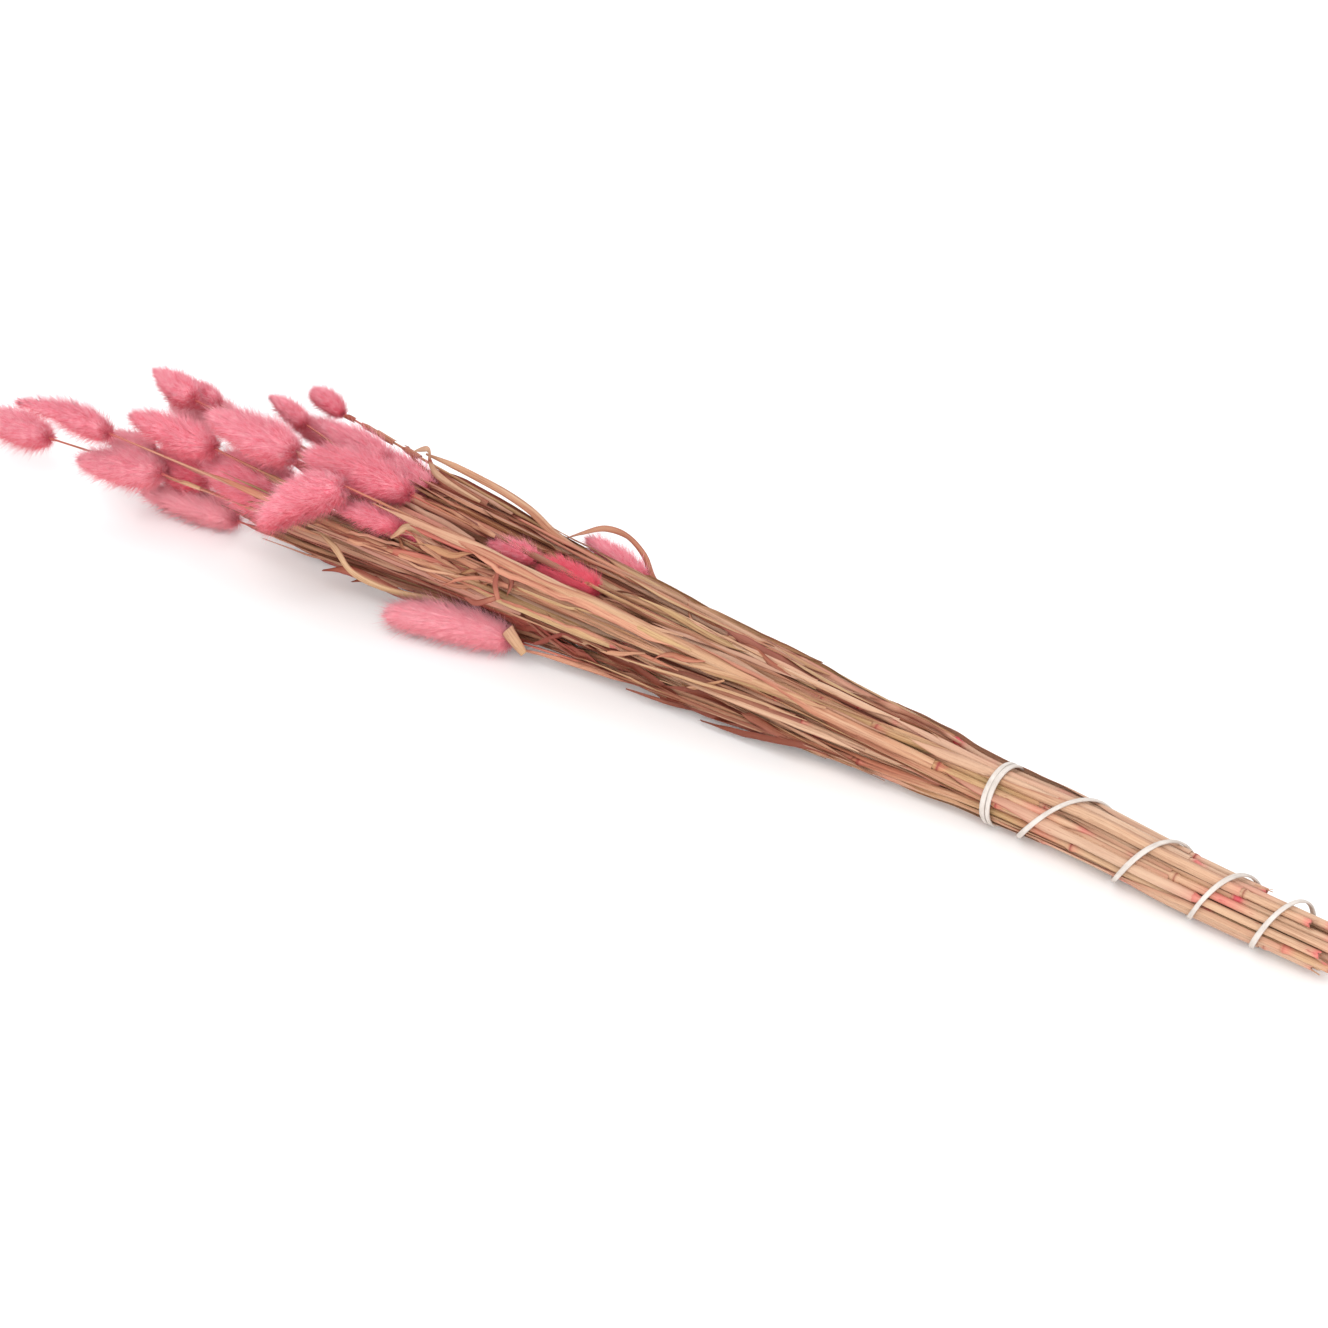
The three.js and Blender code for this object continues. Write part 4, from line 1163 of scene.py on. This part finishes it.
def add_stalk(number, stalks, material):
    rng = rng_for(STALK, number)
    route, radii = stalks[number - 1]
    joints = []
    joint = route[-1, 0] - rng.uniform(*LAST_JOINT) * MM
    while joint > route[0, 0] + JOINTLESS * MM:
        joints.append(joint)
        joint -= rng.uniform(*JOINT_GAPS) * MM
    growth = Growth()

    def drape(*numbers, **more):
        add_drape(growth, stalks, rng, *numbers, **more)

    add_culm(growth, route, radii, rng, joints, rng.random())
    for joint in joints:
        add_sheath(growth, route, radii, joint, rng.uniform(55, 100), rng.uniform(0, 70), rng)
    for _ in range(FILLERS):
        add_filler(growth, number, stalks, rng)
    count, limit = FORWARD_FILLERS.get(number, (0, 0))
    for _ in range(count):
        add_filler(growth, number, stalks, rng, limit)
    if number in UNDER_LEAVES:
        drape(*UNDER_LEAVES[number], lift=0.8, dull=0.65, wild=0.8)
    if number in BACK_LEAVES:
        # painted light: the back leaves are kept free of brown so that their shaded side looks lit
        drape(*BACK_LEAVES[number], lift=0.2, dull=-0.35)
    for _ in range(DRAPES):
        start = rng.uniform(*DRAPE_STARTS)
        length = min(rng.uniform(50, 160), start - DRAPE_END)
        turn = rng.uniform(0, 2 * math.pi)
        width = rng.choice([1.3, 2.3, 3.3, 4.6], p=[0.25, 0.33, 0.27, 0.15])
        swing = rng.normal(0, 0.3)
        lift = rng.uniform(0, 2.2) * smoothstep(abs(math.cos(turn - UPPER_BACK_EDGE)), 1, 0.7)
        drape(start, length, turn, width, swing, lift)
    for scrap in FRONT_SCRAPS.get(number, ()):
        drape(*scrap, swing=rng.normal(0, 0.3), lift=rng.uniform(1, 2.5), dull=0.15, wild=1.0)
    if number not in SCRAPLESS:
        start, length = rng.uniform(-95, 110), rng.uniform(14, 40)
        turn, width = rng.uniform(0, 2 * math.pi), rng.uniform(2.0, 4.2)
        drape(start, length, turn, width, swing=rng.normal(0, 0.4), lift=rng.uniform(0.5, 2.5),
              dull=rng.uniform(0.1, 0.4), wild=1.0)
    for sheath in NECK_SHEATHS.get(number, ()):
        add_neck_sheath(growth, route, radii, *sheath, rng)
    for owner, *strip in HAND_STRIPS:
        if owner == number:
            add_hand_strip(growth, *strip, rng)
    add_splinters(growth, route, radii, rng)
    ob = growth.object(f"stalk_{number:02d}", material)
    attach(ob, "root")
    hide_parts(f"stem_{number:02d}")


# ---------- the leaves that stand out

# Each leaf's tone at its -X end and its +X end, its dye and dullness, its width at both ends as a
# part of the CAD leaf's, and which part of its length is left, counted from -X.
LEAF_LOOKS = {
    "leaf_arc": (0.85, 1.0, 0.0, 0.05, 0.5, 0.95, 0.0, 1.0),
    "leaf_loop": (0.8, 1.0, 0.05, 0.3, 0.8, 0.8, 0.0, 1.0),
    "leaf_point": (1.0, 0.8, 0.1, 0.5, 1.0, 0.9, 0.0, 1.0),
    "leaf_bend": (0.38, 0.48, 0.0, 0.1, 0.7, 0.8, 0.0, 1.0),
    "leaf_ribbon": (0.85, 0.8, 0.12, 0.35, 0.4, 0.6, 0.0, 0.7),
    "leaf_broad": (0.9, 0.8, 0.05, 0.1, 0.9, 1.1, 0.0, 1.0),
    "leaf_under": (1.0, 1.0, 0.0, 0.75, 0.3, 0.75, 0.0, 1.0),
    "leaf_stub": (0.3, 0.42, 0.0, 0.12, 1.8, 1.4, 0.5, 1.0),
}
# The leaf that ends in a hook, from its fast end: (x, y, z, width) in mm.
HOOK = (
    (-75, 24.5, 43, 1.4), (-88, 24, 45.4, 2.2), (-97.7, 24, 47.8, 2.8), (-100.9, 24, 51, 2.4),
    (-101.9, 24, 54, 1.8), (-101.9, 24, 57, 1.5), (-103.2, 23.6, 58.7, 2.4),
    (-106.3, 23.2, 57.5, 1.9), (-109.9, 23, 55.4, 0.4))
HOOK_TONES, HOOK_DULL = (0.4, 0.1), 0.1  # its tone at both ends, and how dull it is
HOOK_JOINT = 53.5            # the height in mm of the brown ring on it
LEAF_THICK = 0.2             # mm


def finish_leaf(growth, name, material):
    ob = growth.object(name.replace("leaf", "blade"), material)
    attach(ob, "root")
    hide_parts(name)


def add_hook_leaf(name, material, number):
    fine = smooth_route(np.array(HOOK, float), 0.5)
    widths = fine[:, 3]
    joint = 0.6 * np.exp(-((fine[:, 2] - HOOK_JOINT) / 0.7) ** 2)
    tones = np.linspace(*HOOK_TONES, len(fine))
    looks = np.stack([tones, 0.5 * joint, HOOK_DULL + joint], axis=-1)
    growth = Growth()
    add_leaf(growth, fine[:, :3] * MM, np.tile(FRONT, (len(fine), 1)), widths, 0.6 * widths + 0.5,
             looks, rng_for(LEAF, number), LEAF_THICK)
    finish_leaf(growth, name, material)


def add_standing_leaf(name, material, number):
    rng = rng_for(LEAF, number)
    rings = rings_of(name)
    tone_low, tone_high, dye, dull, share_low, share_high, first, last = LEAF_LOOKS[name]
    centres = np.array([centre for centre, _ in rings])
    arms = []
    for _, ring in rings:
        one, other = farthest_two(ring)
        arm = one - other
        arms.append(arm if not arms or arm @ arms[-1] > 0 else -arm)
    route = smooth_route(centres, 1.5 * MM)
    arms = columns_at(route[:, 0], centres[:, 0], np.array(arms))
    kept = slice(int(first * len(route)), int(math.ceil(last * len(route))))
    route, arms = route[kept], arms[kept]
    part = np.linspace(0, 1, len(route))
    tones = tone_low + (tone_high - tone_low) * part
    shares = share_low + (share_high - share_low) * part
    widths = np.linalg.norm(arms, axis=1) / MM * 1.1 * shares
    facing = unit(np.cross(arms, unit(np.gradient(route, axis=0))))
    if name == "leaf_broad":     # its outer side is up all along
        facing = facing * np.where(facing[:, 2:] < 0, -1, 1)
    far = lengths_along(route)
    curls = widths * rng.uniform(0.55, 0.9)
    looks = np.stack([tones, dye + 0 * part, dull + 0.15 * np.exp(-far / 8)], axis=-1)
    growth = Growth()
    add_leaf(growth, route, facing, widths, curls, looks, rng, LEAF_THICK)
    finish_leaf(growth, name, material)


# ---------- elastic band

# The tied bundle, as in the CAD model: [x, middle y, radius], in mm before the row's origin was
# moved to the middle of the footprint.
BUNDLE = np.array([
    [140, 19, 10.8], [185, 19, 10.8], [220, 17, 10.4], [250, 16, 10.1], [300, 15, 10]])
ROW_SHIFT = np.array([38.5, 4.815, -0.02])
BAND_CROSSINGS = [146.8, 147.2, 149.2, 150, 161, 186, 203, 222, 236, 251, 262, 274, 278]
BAND_RADIUS = 0.9            # the CAD band's, which is round
BAND_GAP = 0.35              # between it and the bundle, and between it and the table
BAND_WIDTH, BAND_THICK = 2.0, 1.1
BAND_SIDES = 14
BAND_STEPS = 24              # for each half turn
BAND_TAIL = 5                # steps by which the free end stops short, under the bundle


def squarish(values):
    """Sines or cosines that draw a rounded box instead of a circle."""
    return np.sign(values) * np.abs(values) ** 0.7


def add_band(material):
    rng = rng_for(BAND, 0)
    crossings = np.array([[x, i, 0] for i, x in enumerate(BAND_CROSSINGS)], float)
    step = np.arange((len(BAND_CROSSINGS) - 1) * BAND_STEPS - BAND_TAIL) / BAND_STEPS
    fine = smooth_route(crossings, 0.04)
    x = np.interp(step, fine[:, 1], fine[:, 0])
    angle = LOWER_FRONT_EDGE - math.pi * step
    middle_y, radius = (np.interp(x, BUNDLE[:, 0], BUNDLE[:, k]) for k in (1, 2))
    middle_z = radius + 2 * BAND_RADIUS + BAND_GAP
    outward = turned_flat(angle)
    reach = radius + BAND_GAP + BAND_RADIUS
    route = np.stack([x, middle_y, middle_z], axis=-1) + outward * reach[:, None]
    route = (route + ROW_SHIFT) * MM
    wide = unit(np.cross(outward, unit(np.gradient(route, axis=0))))
    turn = np.linspace(0, 2 * math.pi, BAND_SIDES, endpoint=False)
    pinch = 1 + 0.12 * np.sin(step * 5.1) + 0.06 * rng.normal(0, 1, len(step))
    pinch = averaged(pinch, 3)
    flat, tall = squarish(np.cos(turn)), squarish(np.sin(turn))
    rows = (route[:, None]
            + wide[:, None] * (flat * BAND_WIDTH / 2 * MM)[None, :, None] * pinch[:, None, None]
            + outward[:, None] * (tall * BAND_THICK / 2 * MM)[None, :, None])
    far = lengths_along(route)
    growth = Growth()
    growth.tube(rows, grain_at(flat, tall, far), np.zeros(rows.shape))
    ob = growth.object("band", material)
    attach(ob, "root")
    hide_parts("elastic_band")


# ---------- the whole bunch

add_camera()
add_studio()
add_floor()

fur = fur_material()
straw = straw_material()
stalks = [stalk_route(number) for number in range(1, HEADS + 1)]
open_heads = [head_axis(number) for number in OPEN_HEADS]
for number in range(1, HEADS + 1):
    add_head(number, fur)
    add_stalk(number, stalks, straw)
for number, name in enumerate(LEAF_LOOKS):
    add_standing_leaf(name, straw, number)
add_hook_leaf("leaf_hook", straw, len(LEAF_LOOKS))
add_band(band_material())
